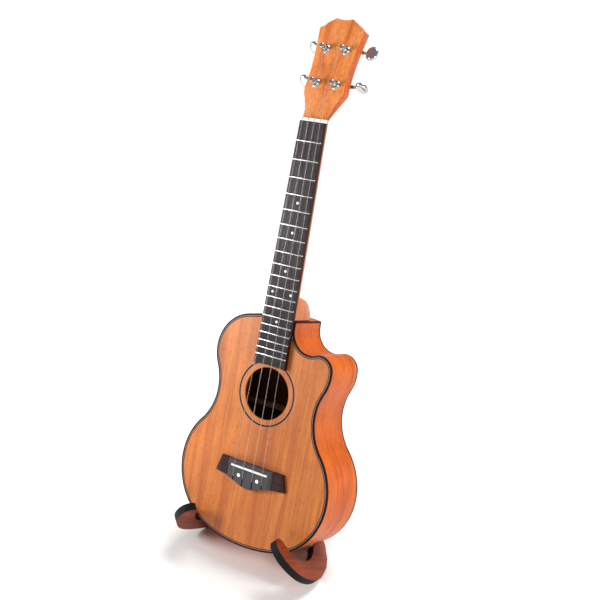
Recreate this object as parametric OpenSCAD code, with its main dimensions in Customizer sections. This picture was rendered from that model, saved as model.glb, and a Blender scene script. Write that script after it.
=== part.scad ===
// Tenor cutaway ukulele on a two-board interlocking stand.
// Millimetres. +Z is up, +Y is to the back, +X is the treble side. The floor is Z = 0.
// The instrument is drawn in its own frame (x to the treble side, y up the neck from the
// saddle, z out of the front, soundboard at z = 0) and then leaned back into the stand.

/* [Instrument] */
// Vibrating string length, saddle to nut
scale_len = 430; // [428:1:432]
// Half width of the lower bout
bout_half = 111; // [110:0.1:111]
// Half width of the waist
waist_half = 73.6; // [73:0.1:74]
// Body depth at the saddle, front face to back face
depth_at_saddle = 71.3; // [69:0.1:71.5]
// Rise of the back towards the neck, per millimetre of length
back_rise = 0.062; // [0.05:0.002:0.064]
// Radius of the soundhole
hole_r = 32.4; // [28:0.1:34]
// Width of the fretboard at the nut
board_w_nut = 35; // [34.5:0.5:36]
// Height of the fretboard above the soundboard
board_t = 6; // [5.5:0.5:6]
// Backward tilt of the headstock, degrees
head_tilt = 12; // [10:1:14]
// Thickness of the headstock
head_t = 12; // [11.5:0.5:12.5]

/* [Tuners] */
// Teeth of the tuning gear, turns of the button for one turn of the post
gear_teeth = 15; // [15:1:16]
// Diameter of the tuning button
button_d = 17; // [14:0.5:17]
// Distance from the post axis to the middle of the button
button_out = 26.2; // [26:0.1:28]

/* [Stand] */
// Thickness of the two boards
stand_t = 9.5; // [9:0.1:9.5]
// Rise of the crossing line towards the front, degrees
cross_rise = 31.4; // [31.4:0.1:31.4]
// Slope of each board seen along the crossing line, degrees
arm_slope = 41; // [41:1:41]

/* [Placing] */
// Lean of the instrument from the vertical, degrees
lean = 18; // [18:0.1:18]
// Height of the saddle above the floor
saddle_z = 124; // [124:0.5:125]
// Place of the saddle in front of the origin
saddle_front = 73.5; // [70:0.1:80]

/* [Hidden] */
$fn = 48;
fit = 0.02;

// ---- body outline: tangent arcs ----
bout_r = 82;
bout_y = -12.5;
bout_x = bout_half - bout_r;
tail_y = -99;
tail_gap = -tail_y - bout_r;
tail_cy = (pow(bout_x, 2) + pow(bout_y, 2) - pow(tail_gap, 2)) / (2 * (tail_gap + bout_y));
tail_r = tail_cy - tail_y;
waist_y = 86;
waist_dx = waist_half - bout_x;
waist_dy = waist_y - bout_y;
waist_r = (pow(waist_dx, 2) + pow(waist_dy, 2) - pow(bout_r, 2)) / (2 * (bout_r - waist_dx));
waist_x = waist_half + waist_r;
upper_r = 50;
upper_x = 35.8;
upper_y = waist_y + sqrt(pow(waist_r + upper_r, 2) - pow(waist_x - upper_x, 2));
top_y = 192.6;
top_m = top_y - upper_r;
top_cy = (pow(top_m, 2) - pow(upper_x, 2) - pow(upper_y, 2)) / (2 * (top_m - upper_y));
top_r = top_y - top_cy;
horn_r = 19;
horn_turn = 5;
horn_x = upper_x + (upper_r - horn_r) * cos(horn_turn);
horn_y = upper_y + (upper_r - horn_r) * sin(horn_turn);
cut_x = 23.4;
cut_r = 26;
cut_cx = cut_x + cut_r;
cut_cy = horn_y + sqrt(pow(cut_r + horn_r, 2) - pow(cut_cx - horn_x, 2));
a_tail = atan2(bout_y - tail_cy, bout_x);
a_waist = atan2(waist_dy, waist_x - bout_x);
a_upper = atan2(upper_y - waist_y, upper_x - waist_x);
a_horn = atan2(cut_cy - horn_y, cut_cx - horn_x);
a_top = atan2(upper_y - top_cy, -upper_x);
arc_step = 5;

// Points along an arc, without its first point
function arc(cx, cy, r, a0, a1) =
    let (n = ceil(abs(a1 - a0) / arc_step))
    [for (i = [1:n]) [cx + r * cos(a0 + (a1 - a0) * i / n), cy + r * sin(a0 + (a1 - a0) * i / n)]];

// Body outline, moved inwards by d
function outline(d) =
    let (a_corner = acos((cut_x - d) / (top_r - d)))
    concat(
        arc(0, tail_cy, tail_r - d, 180 - a_tail, 360 + a_tail),
        arc(bout_x, bout_y, bout_r - d, a_tail, a_waist),
        arc(waist_x, waist_y, waist_r + d, 180 + a_waist, a_upper),
        arc(upper_x, upper_y, upper_r - d, a_upper - 180, horn_turn),
        arc(horn_x, horn_y, horn_r - d, horn_turn, a_horn),
        arc(cut_cx, cut_cy, cut_r + d, 180 + a_horn, 180),
        [[cut_x - d, top_cy + (top_r - d) * sin(a_corner)]],
        arc(0, top_cy, top_r - d, a_corner, a_top),
        arc(-upper_x, upper_y, upper_r - d, a_top, 360 - a_upper),
        arc(-waist_x, waist_y, waist_r + d, 180 - a_upper, -a_waist),
        arc(-bout_x, bout_y, bout_r - d, 180 - a_waist, 180 - a_tail)
    );

// Smooth curve through points, without its last point
function blend(a, b, c, d, t) =
    0.5 * (2 * b + (c - a) * t + (2 * a - 5 * b + 4 * c - d) * t * t
    + (3 * b - a - 3 * c + d) * t * t * t);
function curve(p, k = 6) =
    [for (i = [0:len(p) - 2]) for (j = [0:k - 1])
        blend(p[max(i - 1, 0)], p[i], p[i + 1], p[min(i + 2, len(p) - 1)], j / k)];
function flip(p) = [for (i = [len(p) - 1:-1:0]) [-p[i][0], p[i][1]]];

// ---- body build ----
side_t = 2;
bind_w = 2.4;
bind_h = 2;
pale_w = 0.7;
dark_w = 1.1;
purf_t = 1.5;
strip_w = 2;
strip_l = 3.4;
top_t = 2.2;
back_t = 2.2;
back_bind_h = 3;
lining_w = 5;
lining_h = 7;
plate_in = bind_w + pale_w + dark_w;
hole_y = 96.3;
ring_in = 38.3;
ring_out = 41.5;
ring_line = 0.6;
ring_t = 1;
block_l = 30;
neck_block_half = 32;
tail_block_l = 13;
tail_block_half = 30;
brace_w = 6;
brace_h = 8;
top_brace_y = [140, 52];
fan_x = [-38, 0, 38];
back_brace_y = [150, 70, -30];
patch_w = 96;
patch_l = 34;
patch_t = 1.6;

// ---- fretboard and neck ----
board_end = 131;
board_taper = 0.0366;
nut_t = 4;
nut_top = 8.2;
joint_y = top_y;
neck_d_nut = 12;
neck_d_heel = 15;
heel_d = 54;
heel_l = 26;
fret_count = 19;
fret_r = 0.85;
tang_w = 0.6;
tang_d = 1.8;
tang_in = 1.2;
dot_r = 1.6;
dot_t = 1.2;
dot_frets = [5, 7, 10, 15];
double_fret = 12;
double_x = 13.5;
dowel_r = 4;
function board_w(y) = board_w_nut + (scale_len - y) * board_taper;
function fret_y(n) = scale_len * pow(2, -n / 12);

// ---- bridge ----
bridge_t = 5;
block_top = 8.5;
block_half = 33;
saddle_half = 27;
saddle_t = 2.5;
saddle_top = 10.2;
saddle_slot = 3.5;
bolt_x = 14;
bolt_y = -10.5;
bolt_r = 1.5;
bolt_head_r = 2.3;
slot_w = 1.3;
slot_y = -13;
knot_y = -16.5;
knot_z = 3.2;
knot_r = 1.3;
pocket_r = 1.8;

// ---- strings, bass to treble ----
string_r = [0.38, 0.48, 0.42, 0.34];
string_saddle_x = [-21.6, -7.2, 7.2, 21.6];
string_nut_x = [-12.75, -4.25, 4.25, 12.75];

// ---- headstock and tuners, bass lower, bass upper, treble upper, treble lower ----
head_y = scale_len + nut_t;
post_x = 14.2;
post_s = [44, 87.5, 87.5, 44];
post_side = [-1, -1, 1, 1];
post_r = 3;
post_waist_r = 2.1;
post_low = 5;
post_top = 12.5;
wind_h = 7.5;
wind_turns = 3;
bush_r = 4.2;
bush_len = 8;
flange_r = 5.7;
flange_t = 1.2;
collar_r = 4.8;
collar_t = 2.8;
run_gap = 0.06;
gear_gap = 5.2;
gear_r = 3.5;
gear_t = 3.2;
worm_r = 1.6;
shaft_r = 1.2;
case_w = 15;
case_in = 5.2;
case_up = 9.2;
case_d = 8;
case_wall = 1;
gear_z = -head_t - case_d / 2;
foot_t = 1.4;
foot_s = -14;
screw_r = 1.1;
screw_head_r = 2;
shaft_in = -5.4;

// ---- stand ----
cross_y = -7;
cross_z = -12;
board_slot_w = 11.1;
board_slot_l = 150;
slot_mid = -146;

// ---- placing ----
module instrument() {
    translate([0, -saddle_front, saddle_z]) rotate([90 - lean, 0, 0]) children();
}
module head() {
    instrument() translate([0, head_y, 0]) rotate([-head_tilt, 0, 0]) children();
}
// Tuner i, with x outwards from its post and z out of the headstock front
module tuner(i) {
    head() mirror([post_side[i] < 0 ? 1 : 0, 0, 0]) translate([post_x, post_s[i], 0]) children();
}

// ---- body helpers ----
module plate(d, z0, z1) {
    translate([0, 0, z0]) linear_extrude(z1 - z0) polygon(outline(d));
}
module ring(d0, d1, z0, z1) {
    translate([0, 0, z0]) linear_extrude(z1 - z0) difference() {
        polygon(outline(d0));
        polygon(outline(d1));
    }
}
// Everything deeper than the back face moved forwards by gap
module behind_back(gap) {
    translate([0, 0, gap - depth_at_saddle]) rotate([atan(back_rise), 0, 0])
        translate([-150, -150, -60]) cube([300, 400, 60]);
}
module between_back(gap0, gap1) {
    intersection() {
        children();
        difference() {
            behind_back(gap1);
            behind_back(gap0);
        }
    }
}
module neck_block_space() {
    translate([-neck_block_half, top_y - block_l, -90]) cube([cut_x + neck_block_half, block_l + 10, 90]);
}
module tail_block_space() {
    translate([-tail_block_half, tail_y - 5, -90]) cube([2 * tail_block_half, tail_block_l + 5, 90]);
}

module soundboard() {
    color([0.86, 0.55, 0.33]) instrument() difference() {
        union() {
            plate(plate_in, -purf_t, 0);
            plate(bind_w, -top_t, -purf_t);
        }
        translate([0, hole_y, -top_t - 1]) cylinder(r = hole_r, h = top_t + 2, $fn = 96);
        translate([0, hole_y, -ring_t]) rotate_extrude($fn = 96)
            translate([ring_in, 0]) square([ring_out - ring_in, ring_t + 1]);
        bolt_holes(bolt_r + 0.1);
    }
}
module bolt_holes(r) {
    for (s = [-1, 1]) translate([s * bolt_x, bolt_y, -20]) cylinder(r = r, h = 40, $fn = 24);
}
module rosette_dark() {
    color([0.16, 0.11, 0.09]) instrument() translate([0, hole_y, -ring_t]) rotate_extrude($fn = 96)
        translate([ring_in + ring_line, 0]) square([ring_out - ring_in - 2 * ring_line, ring_t]);
}
module rosette_pale() {
    color([0.88, 0.82, 0.68]) instrument() translate([0, hole_y, -ring_t]) rotate_extrude($fn = 96)
        for (x = [ring_in, ring_out - ring_line]) translate([x, 0]) square([ring_line, ring_t]);
}
module back_plate() {
    color([0.78, 0.43, 0.22]) instrument() between_back(0, back_t) plate(side_t, -90, 0);
}
module sides() {
    difference() {
        ring(0, side_t, -90, -bind_h);
        behind_back(back_bind_h);
    }
}
// Space of the dark strip at the corner of the cutaway
module strip_space() {
    translate([cut_x - strip_w, top_y - strip_l, -90]) cube([strip_w + 1, strip_l + 2, 90]);
}
// Space of the bass side, up to the dark strip
module bass_space() {
    translate([-150, -150, -90]) cube([150, 400, 90]);
    translate([-1, top_y - 6, -90]) cube([cut_x - strip_w + 1, 8, 90]);
}
module side_bass() {
    color([0.80, 0.42, 0.20]) instrument() difference() {
        intersection() {
            sides();
            bass_space();
        }
        dowel_shapes(dowel_r + fit);
    }
}
module side_treble() {
    color([0.80, 0.42, 0.20]) instrument() difference() {
        sides();
        bass_space();
        strip_space();
    }
}
module cutaway_strip() {
    color([0.13, 0.09, 0.08]) instrument() intersection() {
        sides();
        strip_space();
    }
}
module binding_front() {
    color([0.13, 0.09, 0.08]) instrument() ring(0, bind_w, -bind_h, 0);
}
module purfling_pale() {
    color([0.85, 0.80, 0.70]) instrument() ring(bind_w, bind_w + pale_w, -purf_t, 0);
}
module purfling_dark() {
    color([0.15, 0.11, 0.10]) instrument() ring(bind_w + pale_w, plate_in, -purf_t, 0);
}
module binding_back() {
    color([0.13, 0.09, 0.08]) instrument() between_back(0, back_bind_h) ring(0, side_t, -90, 0);
}
module lining_front() {
    color([0.72, 0.48, 0.30]) instrument() difference() {
        ring(side_t, side_t + lining_w, -top_t - lining_h, -top_t);
        neck_block_space();
        tail_block_space();
    }
}
module lining_back() {
    color([0.72, 0.48, 0.30]) instrument() difference() {
        between_back(back_t, back_t + lining_h) ring(side_t, side_t + lining_w, -90, -20);
        neck_block_space();
        tail_block_space();
    }
}
module block() {
    difference() {
        intersection() {
            plate(side_t, -90, -top_t);
            children();
        }
        behind_back(back_t);
    }
}
module neck_block() {
    color([0.70, 0.46, 0.28]) instrument() difference() {
        block() neck_block_space();
        dowel_shapes(dowel_r + fit);
    }
}
module tail_block() {
    color([0.70, 0.46, 0.28]) instrument() block() tail_block_space();
}
module dowel_shapes(r) {
    for (x = [-9, 9]) translate([x, joint_y - 18, -18]) rotate([-90, 0, 0])
        cylinder(r = r, h = 30, $fn = 24);
}
module neck_dowels() {
    color([0.82, 0.68, 0.48]) instrument() dowel_shapes(dowel_r);
}
module inside_plate() {
    intersection() {
        plate(side_t + lining_w + 0.1, -90, 0);
        children();
    }
}
module top_braces() {
    color([0.85, 0.72, 0.52]) instrument() inside_plate() {
        for (y = top_brace_y) translate([-120, y - brace_w / 2, -top_t - brace_h])
            cube([240, brace_w, brace_h]);
        for (x = fan_x) translate([x - 2, -72, -top_t - brace_h + 3])
            cube([4, 28, brace_h - 3]);
    }
}
module bridge_patch() {
    color([0.80, 0.66, 0.46]) instrument() difference() {
        translate([-patch_w / 2, -patch_l + 12, -top_t - patch_t]) cube([patch_w, patch_l, patch_t]);
        bolt_holes(bolt_r + 0.1);
    }
}
module back_braces() {
    color([0.85, 0.72, 0.52]) instrument() between_back(back_t, back_t + brace_h) inside_plate()
        for (y = back_brace_y) translate([-120, y - brace_w / 2, -90]) cube([240, brace_w, 60]);
}

// ---- bridge ----
bridge_rear = [[52.5, -14.5], [33, -16.5], [22, -19], [11, -22.8], [0, -24.8],
    [-11, -22.8], [-22, -19], [-33, -16.5], [-52.5, -14.5]];
bridge_shape = concat([[-46.5, 6.5], [46.5, 6.5]], curve(bridge_rear, 4), [[-52.5, -14.5]]);
module string_slots() {
    for (x = string_saddle_x) {
        translate([x - slot_w / 2, -30, knot_z]) cube([slot_w, 30 + slot_y, 10]);
        translate([x, knot_y, knot_z - pocket_r]) cylinder(r = pocket_r, h = 2 * pocket_r, $fn = 24);
    }
}
module bridge() {
    color([0.20, 0.11, 0.10]) instrument() difference() {
        union() {
            linear_extrude(bridge_t) polygon(bridge_shape);
            linear_extrude(block_top) intersection() {
                polygon(bridge_shape);
                translate([-block_half, -40]) square([2 * block_half, 60]);
            }
        }
        translate([-saddle_half, -saddle_t / 2, saddle_slot]) cube([2 * saddle_half, saddle_t, 10]);
        string_slots();
        bolt_holes(bolt_r + 0.1);
        for (s = [-1, 1]) translate([s * bolt_x, bolt_y, bridge_t]) cylinder(r = bolt_head_r + 0.1, h = 10);
    }
}
module saddle() {
    color([0.93, 0.92, 0.88]) instrument()
        translate([-saddle_half + fit, fit - saddle_t / 2, saddle_slot])
        cube([2 * (saddle_half - fit), saddle_t - 2 * fit, saddle_top - saddle_slot]);
}
module bridge_bolts() {
    color([0.75, 0.75, 0.77]) instrument() for (s = [-1, 1]) translate([s * bolt_x, bolt_y, 0]) {
        translate([0, 0, -8]) cylinder(r = bolt_r, h = 8 + bridge_t, $fn = 24);
        translate([0, 0, bridge_t]) cylinder(r = bolt_head_r, h = 1.8, $fn = 24);
    }
}
module bridge_dots() {
    color([0.95, 0.94, 0.90]) instrument() for (s = [-1, 1])
        translate([s * bolt_x, bolt_y, bridge_t + 1.8])
        cylinder(r = bolt_head_r, h = block_top - bridge_t - 1.8, $fn = 24);
}
module bridge_nuts() {
    color([0.75, 0.75, 0.77]) instrument() for (s = [-1, 1])
        translate([s * bolt_x, bolt_y, -top_t - patch_t - 2.6]) difference() {
            cylinder(r = 3.2, h = 2.6, $fn = 6);
            translate([0, 0, -1]) cylinder(r = bolt_r + fit, h = 5, $fn = 24);
        }
}

// ---- neck ----
loft_points = 24;
heel_pow = 2.4;
heel_square = 0.52;
neck_square = 1.08;
function heel_part(y) = min(1, (y - joint_y) / heel_l);
// Depth of the neck at y
function neck_depth(y) =
    let (
        along = (y - joint_y) / (head_y - joint_y),
        shaft = neck_d_heel + (neck_d_nut - neck_d_heel) * along
    )
    shaft + (heel_d - shaft) * pow(1 - pow(heel_part(y), heel_pow), 1 / heel_pow);
// Neck section at y, with a flat top at z = 0, square at the heel and round along the neck
function neck_section(y) =
    let (
        w = board_w(y) / 2,
        d = neck_depth(y),
        square = heel_square + (neck_square - heel_square) * heel_part(y)
    )
    [for (i = [0:loft_points]) let (a = 180 * i / loft_points)
        [w * cos(a), y, -d * pow(sin(a), square)]];
heel_y = [for (i = [0:10]) joint_y + heel_l * sin(9 * i)];
neck_y = concat(heel_y, [for (i = [1:5]) joint_y + heel_l + (head_y - joint_y - heel_l) * i / 5]);
// Closed solid through rings of equal length
module loft(rings) {
    n = len(rings[0]);
    m = len(rings);
    points = [for (r = rings) for (p = r) p];
    walls = [for (i = [0:m - 2]) for (j = [0:n - 1])
        [i * n + (j + 1) % n, i * n + j, (i + 1) * n + j, (i + 1) * n + (j + 1) % n]];
    low_cap = [for (j = [0:n - 1]) j];
    high_cap = [for (j = [n - 1:-1:0]) (m - 1) * n + j];
    polyhedron(points, concat([low_cap], walls, [high_cap]));
}
module neck() {
    color([0.80, 0.44, 0.22]) instrument() difference() {
        loft([for (y = neck_y) neck_section(y)]);
        dowel_shapes(dowel_r + fit);
    }
}
head_flare = [[17.6, 0], [18.2, 8], [22.5, 21], [27.6, 34], [27.1, 48], [26.9, 62], [28.6, 88],
    [31.8, 113.5]];
head_crown = [[31.8, 113.5], [26.5, 116.4], [22, 120.5]];
head_dip = [[11.5, 127], [0, 125.2], [-11.5, 127]];
head_half = concat(curve(head_flare, 5), curve(head_crown, 4), [[22, 120.5]]);
head_shape = concat(head_half, curve(head_dip, 6), [[-11.5, 127]], flip(head_half));
head_taper = [1, -0.591, -1];
head_taper_at = 19.5;
// Space beyond the slanting plane that tapers the lower end of the headstock, treble side
module taper_space() {
    length = norm(head_taper);
    rotate([0, acos(head_taper[2] / length), atan2(head_taper[1], head_taper[0])])
        translate([-80, -80, head_taper_at / length]) cube([160, 160, 60]);
}
module headstock() {
    color([0.84, 0.47, 0.22]) difference() {
        head() difference() {
            translate([0, 0, -head_t]) linear_extrude(head_t) polygon(head_shape);
            taper_space();
            mirror([1, 0, 0]) taper_space();
            for (k = [-1, 1]) for (s = [post_s[0], post_s[1]])
                translate([k * post_x, s, -head_t - 1]) cylinder(r = bush_r + fit, h = head_t + 2);
            for (i = [0:3]) mirror([post_side[i] < 0 ? 1 : 0, 0, 0])
                translate([post_x, post_s[i] + foot_s, -head_t - 1]) cylinder(r = screw_r, h = 8, $fn = 24);
        }
        instrument() translate([-40, head_y - 60, -60]) cube([80, 60, 100]);
    }
}
module fretboard() {
    color([0.17, 0.16, 0.17]) instrument() difference() {
        linear_extrude(board_t) polygon([
            [-board_w(board_end) / 2, board_end], [board_w(board_end) / 2, board_end],
            [board_w_nut / 2, scale_len], [-board_w_nut / 2, scale_len]
        ]);
        for (n = [1:fret_count]) fret_tang(n);
        for (p = dot_places()) translate([p[0], p[1], board_t - dot_t]) cylinder(r = dot_r + fit, h = 2);
    }
}
module fret_tang(n) {
    w = board_w(fret_y(n)) / 2 - tang_in;
    translate([-w, fret_y(n) - tang_w / 2, board_t - tang_d]) cube([2 * w, tang_w, tang_d]);
}
module frets() {
    color([0.82, 0.82, 0.84]) instrument() for (n = [1:fret_count]) {
        w = board_w(fret_y(n)) / 2;
        fret_tang(n);
        translate([-w, fret_y(n), board_t]) rotate([90, 0, 90]) linear_extrude(2 * w) intersection() {
            circle(fret_r, $fn = 24);
            translate([-2, 0]) square([4, 2]);
        }
    }
}
function dot_y(n) = (fret_y(n) + fret_y(n - 1)) / 2;
function dot_places() = concat(
    [for (n = dot_frets) [0, dot_y(n)]],
    [for (s = [-1, 1]) [s * double_x, dot_y(double_fret)]]
);
module position_dots() {
    color([0.95, 0.94, 0.90]) instrument() for (p = dot_places())
        translate([p[0], p[1], board_t - dot_t]) cylinder(r = dot_r, h = dot_t);
}
module nut() {
    color([0.94, 0.93, 0.89]) instrument() difference() {
        translate([-board_w_nut / 2, scale_len, 0]) cube([board_w_nut, nut_t, nut_top]);
        for (i = [0:3]) translate([string_nut_x[i] - string_r[i] - 0.05, scale_len - 1, string_z_nut(i) - string_r[i] - 0.05])
            cube([2 * string_r[i] + 0.1, nut_t + 2, 5]);
    }
}

// ---- strings ----
function string_z_nut(i) = board_t + fret_r + 0.5 + string_r[i];
function string_z_saddle(i) = saddle_top + string_r[i] + 0.01;
// A point of the headstock frame in the instrument frame
function from_head(p) = [
    p[0],
    head_y + p[1] * cos(head_tilt) + p[2] * sin(head_tilt),
    -p[1] * sin(head_tilt) + p[2] * cos(head_tilt)
];
wind_r = post_waist_r + 0.1;
function string_end(i) = from_head([
    post_side[i] * (post_x - wind_r - 2 * string_r[i] - string_r[i] - 0.12),
    post_s[i],
    wind_h + string_r[i]
]);
function string_route(i) = [
    [string_saddle_x[i], knot_y, knot_z],
    [string_saddle_x[i], slot_y - 0.5, block_top + string_r[i] + 0.05],
    [string_saddle_x[i], -saddle_t / 2 - 0.3, string_z_saddle(i)],
    [string_nut_x[i], scale_len, string_z_nut(i)],
    [string_nut_x[i], head_y + 0.3, string_z_nut(i)],
    string_end(i)
];
// Round cord of radius r from a to b
module cord(a, b, r) {
    d = b - a;
    translate(a) rotate([0, acos(d[2] / norm(d)), atan2(d[1], d[0])]) cylinder(r = r, h = norm(d), $fn = 16);
}
module string(i) {
    route = string_route(i);
    last = len(route) - 1;
    color([0.90, 0.90, 0.88]) instrument() {
        for (k = [0:last - 1]) cord(route[k], route[k + 1], string_r[i]);
        for (k = [1:last - 1]) translate(route[k]) sphere(r = string_r[i] + 0.01, $fn = 16);
        translate(route[0]) sphere(r = knot_r, $fn = 16);
    }
}
module winding(i) {
    color([0.90, 0.90, 0.88]) tuner(i) rotate_extrude($fn = 32) for (k = [0:wind_turns - 1])
        translate([wind_r + string_r[i], wind_h + string_r[i] * (1 + 2.02 * k)]) circle(string_r[i], $fn = 16);
}

// ---- tuners ----
module tuning_post(i) {
    color([0.85, 0.86, 0.88]) tuner(i) difference() {
        rotate_extrude() polygon([
            [0, gear_z - gear_t / 2 - 1], [post_r - 1.2, gear_z - gear_t / 2 - 1],
            [post_r - 1.2, gear_z + gear_t / 2], [post_r, gear_z + gear_t / 2],
            [post_r, post_low], [post_waist_r, post_low + 1.5],
            [post_waist_r, post_top - 2], [post_r, post_top - 1], [post_r - 0.6, post_top],
            [0, post_top]
        ]);
        translate([-10, 0, post_top - 1.8]) rotate([0, 90, 0]) cylinder(r = 0.8, h = 20, $fn = 24);
    }
}
module tuning_gear(i) {
    color([0.80, 0.65, 0.35]) tuner(i) translate([0, 0, gear_z - gear_t / 2]) difference() {
        linear_extrude(gear_t) difference() {
            circle(gear_r, $fn = 60);
            for (k = [0:gear_teeth - 1]) rotate(360 * k / gear_teeth)
                translate([gear_r, 0]) circle(0.42, $fn = 16);
        }
        translate([0, 0, -1]) cylinder(r = post_r - 1.2 + fit, h = gear_t + 2);
    }
}
module button_shaft(i) {
    color([0.70, 0.68, 0.66]) tuner(i) translate([0, gear_gap, gear_z]) rotate([0, 90, 0]) {
        translate([0, 0, shaft_in]) cylinder(r = shaft_r, h = button_out - shaft_in, $fn = 32);
        for (k = [-2:2]) translate([0, 0, k * 1.4 - 0.4])
            cylinder(r = worm_r, h = 0.8, $fn = 32);
        translate([0, 0, case_w / 2 + case_wall + 0.1]) cylinder(r = 2.4, h = 3, $fn = 32);
    }
}
module button(i) {
    color([0.86, 0.87, 0.88]) tuner(i) translate([button_out, gear_gap, gear_z]) difference() {
        union() {
            rotate_extrude() intersection() {
                translate([0, -2.6]) square([button_d / 2, 5.2]);
                union() {
                    translate([button_d / 2 - 2.6, 0]) circle(2.6, $fn = 32);
                    translate([0, -2.6]) square([button_d / 2 - 2.6, 5.2]);
                }
            }
            translate([-button_d / 2 - 1.5, 0, 0]) rotate([0, 90, 0]) cylinder(r = 2, h = 4, $fn = 32);
        }
        translate([-button_d, 0, 0]) rotate([0, 90, 0]) cylinder(r = shaft_r + fit, h = button_d, $fn = 32);
    }
}
module tuner_housings() {
    color([0.80, 0.81, 0.83]) for (i = [0:3]) tuner(i) difference() {
        union() {
            translate([-case_w / 2, -case_in, -head_t - case_d])
                cube([case_w, case_in + case_up, case_d]);
            translate([-3.5, foot_s - 3.5, -head_t - foot_t]) cube([7, -foot_s + 3.5, foot_t]);
        }
        translate([0, 0, gear_z - gear_t / 2 - 0.15]) cylinder(r = gear_r + 0.25, h = gear_t + 0.3);
        translate([0, 0, gear_z - 8]) cylinder(r = post_r - 1.2 + run_gap, h = 8);
        translate([0, 0, gear_z]) cylinder(r = post_r + run_gap, h = 8);
        translate([-case_w / 2 + case_wall, gear_gap, gear_z]) rotate([0, 90, 0])
            cylinder(r = worm_r + 0.2, h = case_w - 2 * case_wall, $fn = 32);
        translate([-case_w / 2 + case_wall, gear_gap, gear_z]) rotate([0, 90, 0])
            cylinder(r = shaft_r + run_gap, h = case_w, $fn = 32);
        translate([0, foot_s, -head_t - 3]) cylinder(r = screw_r + 0.1, h = 5, $fn = 24);
    }
}
module tuner_bushes() {
    color([0.88, 0.89, 0.90]) for (i = [0:3]) tuner(i) rotate_extrude() polygon([
        [post_r + run_gap, -bush_len], [bush_r, -bush_len], [bush_r, 0], [flange_r, 0],
        [flange_r, flange_t * 0.6], [flange_r - 0.5, flange_t], [collar_r, flange_t],
        [collar_r - 0.7, collar_t], [post_r + run_gap, collar_t]
    ]);
}
module tuner_screws() {
    color([0.78, 0.79, 0.80]) for (i = [0:3]) tuner(i) translate([0, foot_s, 0]) {
        translate([0, 0, -head_t - foot_t]) cylinder(r = screw_r - fit, h = foot_t + 6.5, $fn = 24);
        translate([0, 0, -head_t - foot_t - 1.2]) cylinder(r = screw_head_r, h = 1.2, $fn = 24);
    }
}

// ---- stand ----
// Board outline: u outwards and down from the crossing line, v forwards and up along it
floor_slope = sin(arm_slope) * cos(cross_rise) / sin(cross_rise);
foot_land = 1.6;
face_rise = stand_t / 2 * cos(arm_slope) * cos(cross_rise);
floor_low = -(saddle_z + cross_z - face_rise + foot_land) / sin(cross_rise);
function floor_v(u) = floor_low + floor_slope * u;
function on_floor(u) = [u, floor_v(u)];
back_u0 = -112;
function back_v(u) = -80.6 - 0.199 * u;
// Front foot from the hook's tip down to the floor, and the cradle from the arm back to the tip
right_nose = [[84.5, 6], [86.5, 12.5], [92, 17.5], [99, 19.5], [109.5, 18], [120.5, 12], [131, 1],
    [137.5, -12], [140, -30], [138, -46], [133, -60], on_floor(121)];
right_cradle = [[84.6, -97.6], [85.8, -89], [89.2, -78.2], [94.6, -71.6], [101, -65], [110, -50.5],
    [114, -34], [113, -22], [108.7, -13.5], [103, -6.5], [97.5, -3], [91, -0.5], [86.5, 2], [84.5, 6]];
left_nose = [[80.5, 7], [83, 14.5], [88.5, 18.3], [95, 17.8], [102, 14.6], [109, 9.5], [115.5, 3],
    [121, -4.5], [126.5, -13.5], [131.5, -23], [134.3, -34], [134.3, -46], [130.8, -60], on_floor(121)];
left_cradle = [[84.6, -97.6], [85.8, -89], [89.2, -78.2], [94.2, -71.6], [99.5, -64], [104, -52],
    [106, -38], [104.5, -26], [100.5, -17], [95.5, -10.5], [90.5, -5.5], [86, -1.5], [82.2, 2.5],
    [80.5, 7]];
under_arch = [on_floor(107), [99, -102], [90, -108], [81.5, -111.5], [70, -116], [58, -122.5],
    [46, -134], [35, -152], [24, -174], on_floor(10)];
rear_edge = [on_floor(-26), [-42, -212], [-56, -188], [-65, -162], [-74, -132], [-92, -96],
    [-104, -76], [-110, -66], [back_u0, back_v(back_u0)]];
function stand_shape(nose, cradle) = concat(curve(nose, 4), [on_floor(121)], curve(under_arch, 4),
    [on_floor(10)], curve(rear_edge), [[back_u0, back_v(back_u0)], [80, back_v(80)]], curve(cradle, 4));
module board_place() {
    translate([0, cross_y - saddle_front, saddle_z + cross_z]) rotate([180 - cross_rise, 0, 0])
        rotate([0, -arm_slope, 0]) children();
}
module board(shape, slot_v) {
    difference() {
        board_place() linear_extrude(stand_t, center = true) difference() {
            polygon(shape);
            translate([-board_slot_w / 2, slot_v]) square([board_slot_w, board_slot_l]);
        }
        translate([-200, -300, -60]) cube([400, 600, 60]);
    }
}
module stand_board_right() {
    color([0.62, 0.34, 0.22]) board(stand_shape(right_nose, right_cradle), slot_mid);
}
module stand_board_left() {
    color([0.60, 0.32, 0.21]) mirror([1, 0, 0])
        board(stand_shape(left_nose, left_cradle), slot_mid - board_slot_l);
}

stand_board_right();
stand_board_left();
soundboard();
back_plate();
side_bass();
side_treble();
cutaway_strip();
binding_front();
purfling_pale();
purfling_dark();
binding_back();
rosette_dark();
rosette_pale();
lining_front();
lining_back();
neck_block();
tail_block();
top_braces();
bridge_patch();
back_braces();
bridge();
saddle();
bridge_bolts();
bridge_dots();
bridge_nuts();
neck();
neck_dowels();
headstock();
fretboard();
frets();
position_dots();
nut();
string(0);  // string_g
string(1);  // string_c
string(2);  // string_e
string(3);  // string_a
tuner_housings();
tuner_bushes();
tuner_screws();
tuning_post(0);  // post_g
tuning_post(1);  // post_c
tuning_post(2);  // post_e
tuning_post(3);  // post_a
tuning_gear(0);  // gear_g
tuning_gear(1);  // gear_c
tuning_gear(2);  // gear_e
tuning_gear(3);  // gear_a
winding(0);  // winding_g
winding(1);  // winding_c
winding(2);  // winding_e
winding(3);  // winding_a
button_shaft(0);  // button_shaft_g
button_shaft(1);  // button_shaft_c
button_shaft(2);  // button_shaft_e
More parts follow.
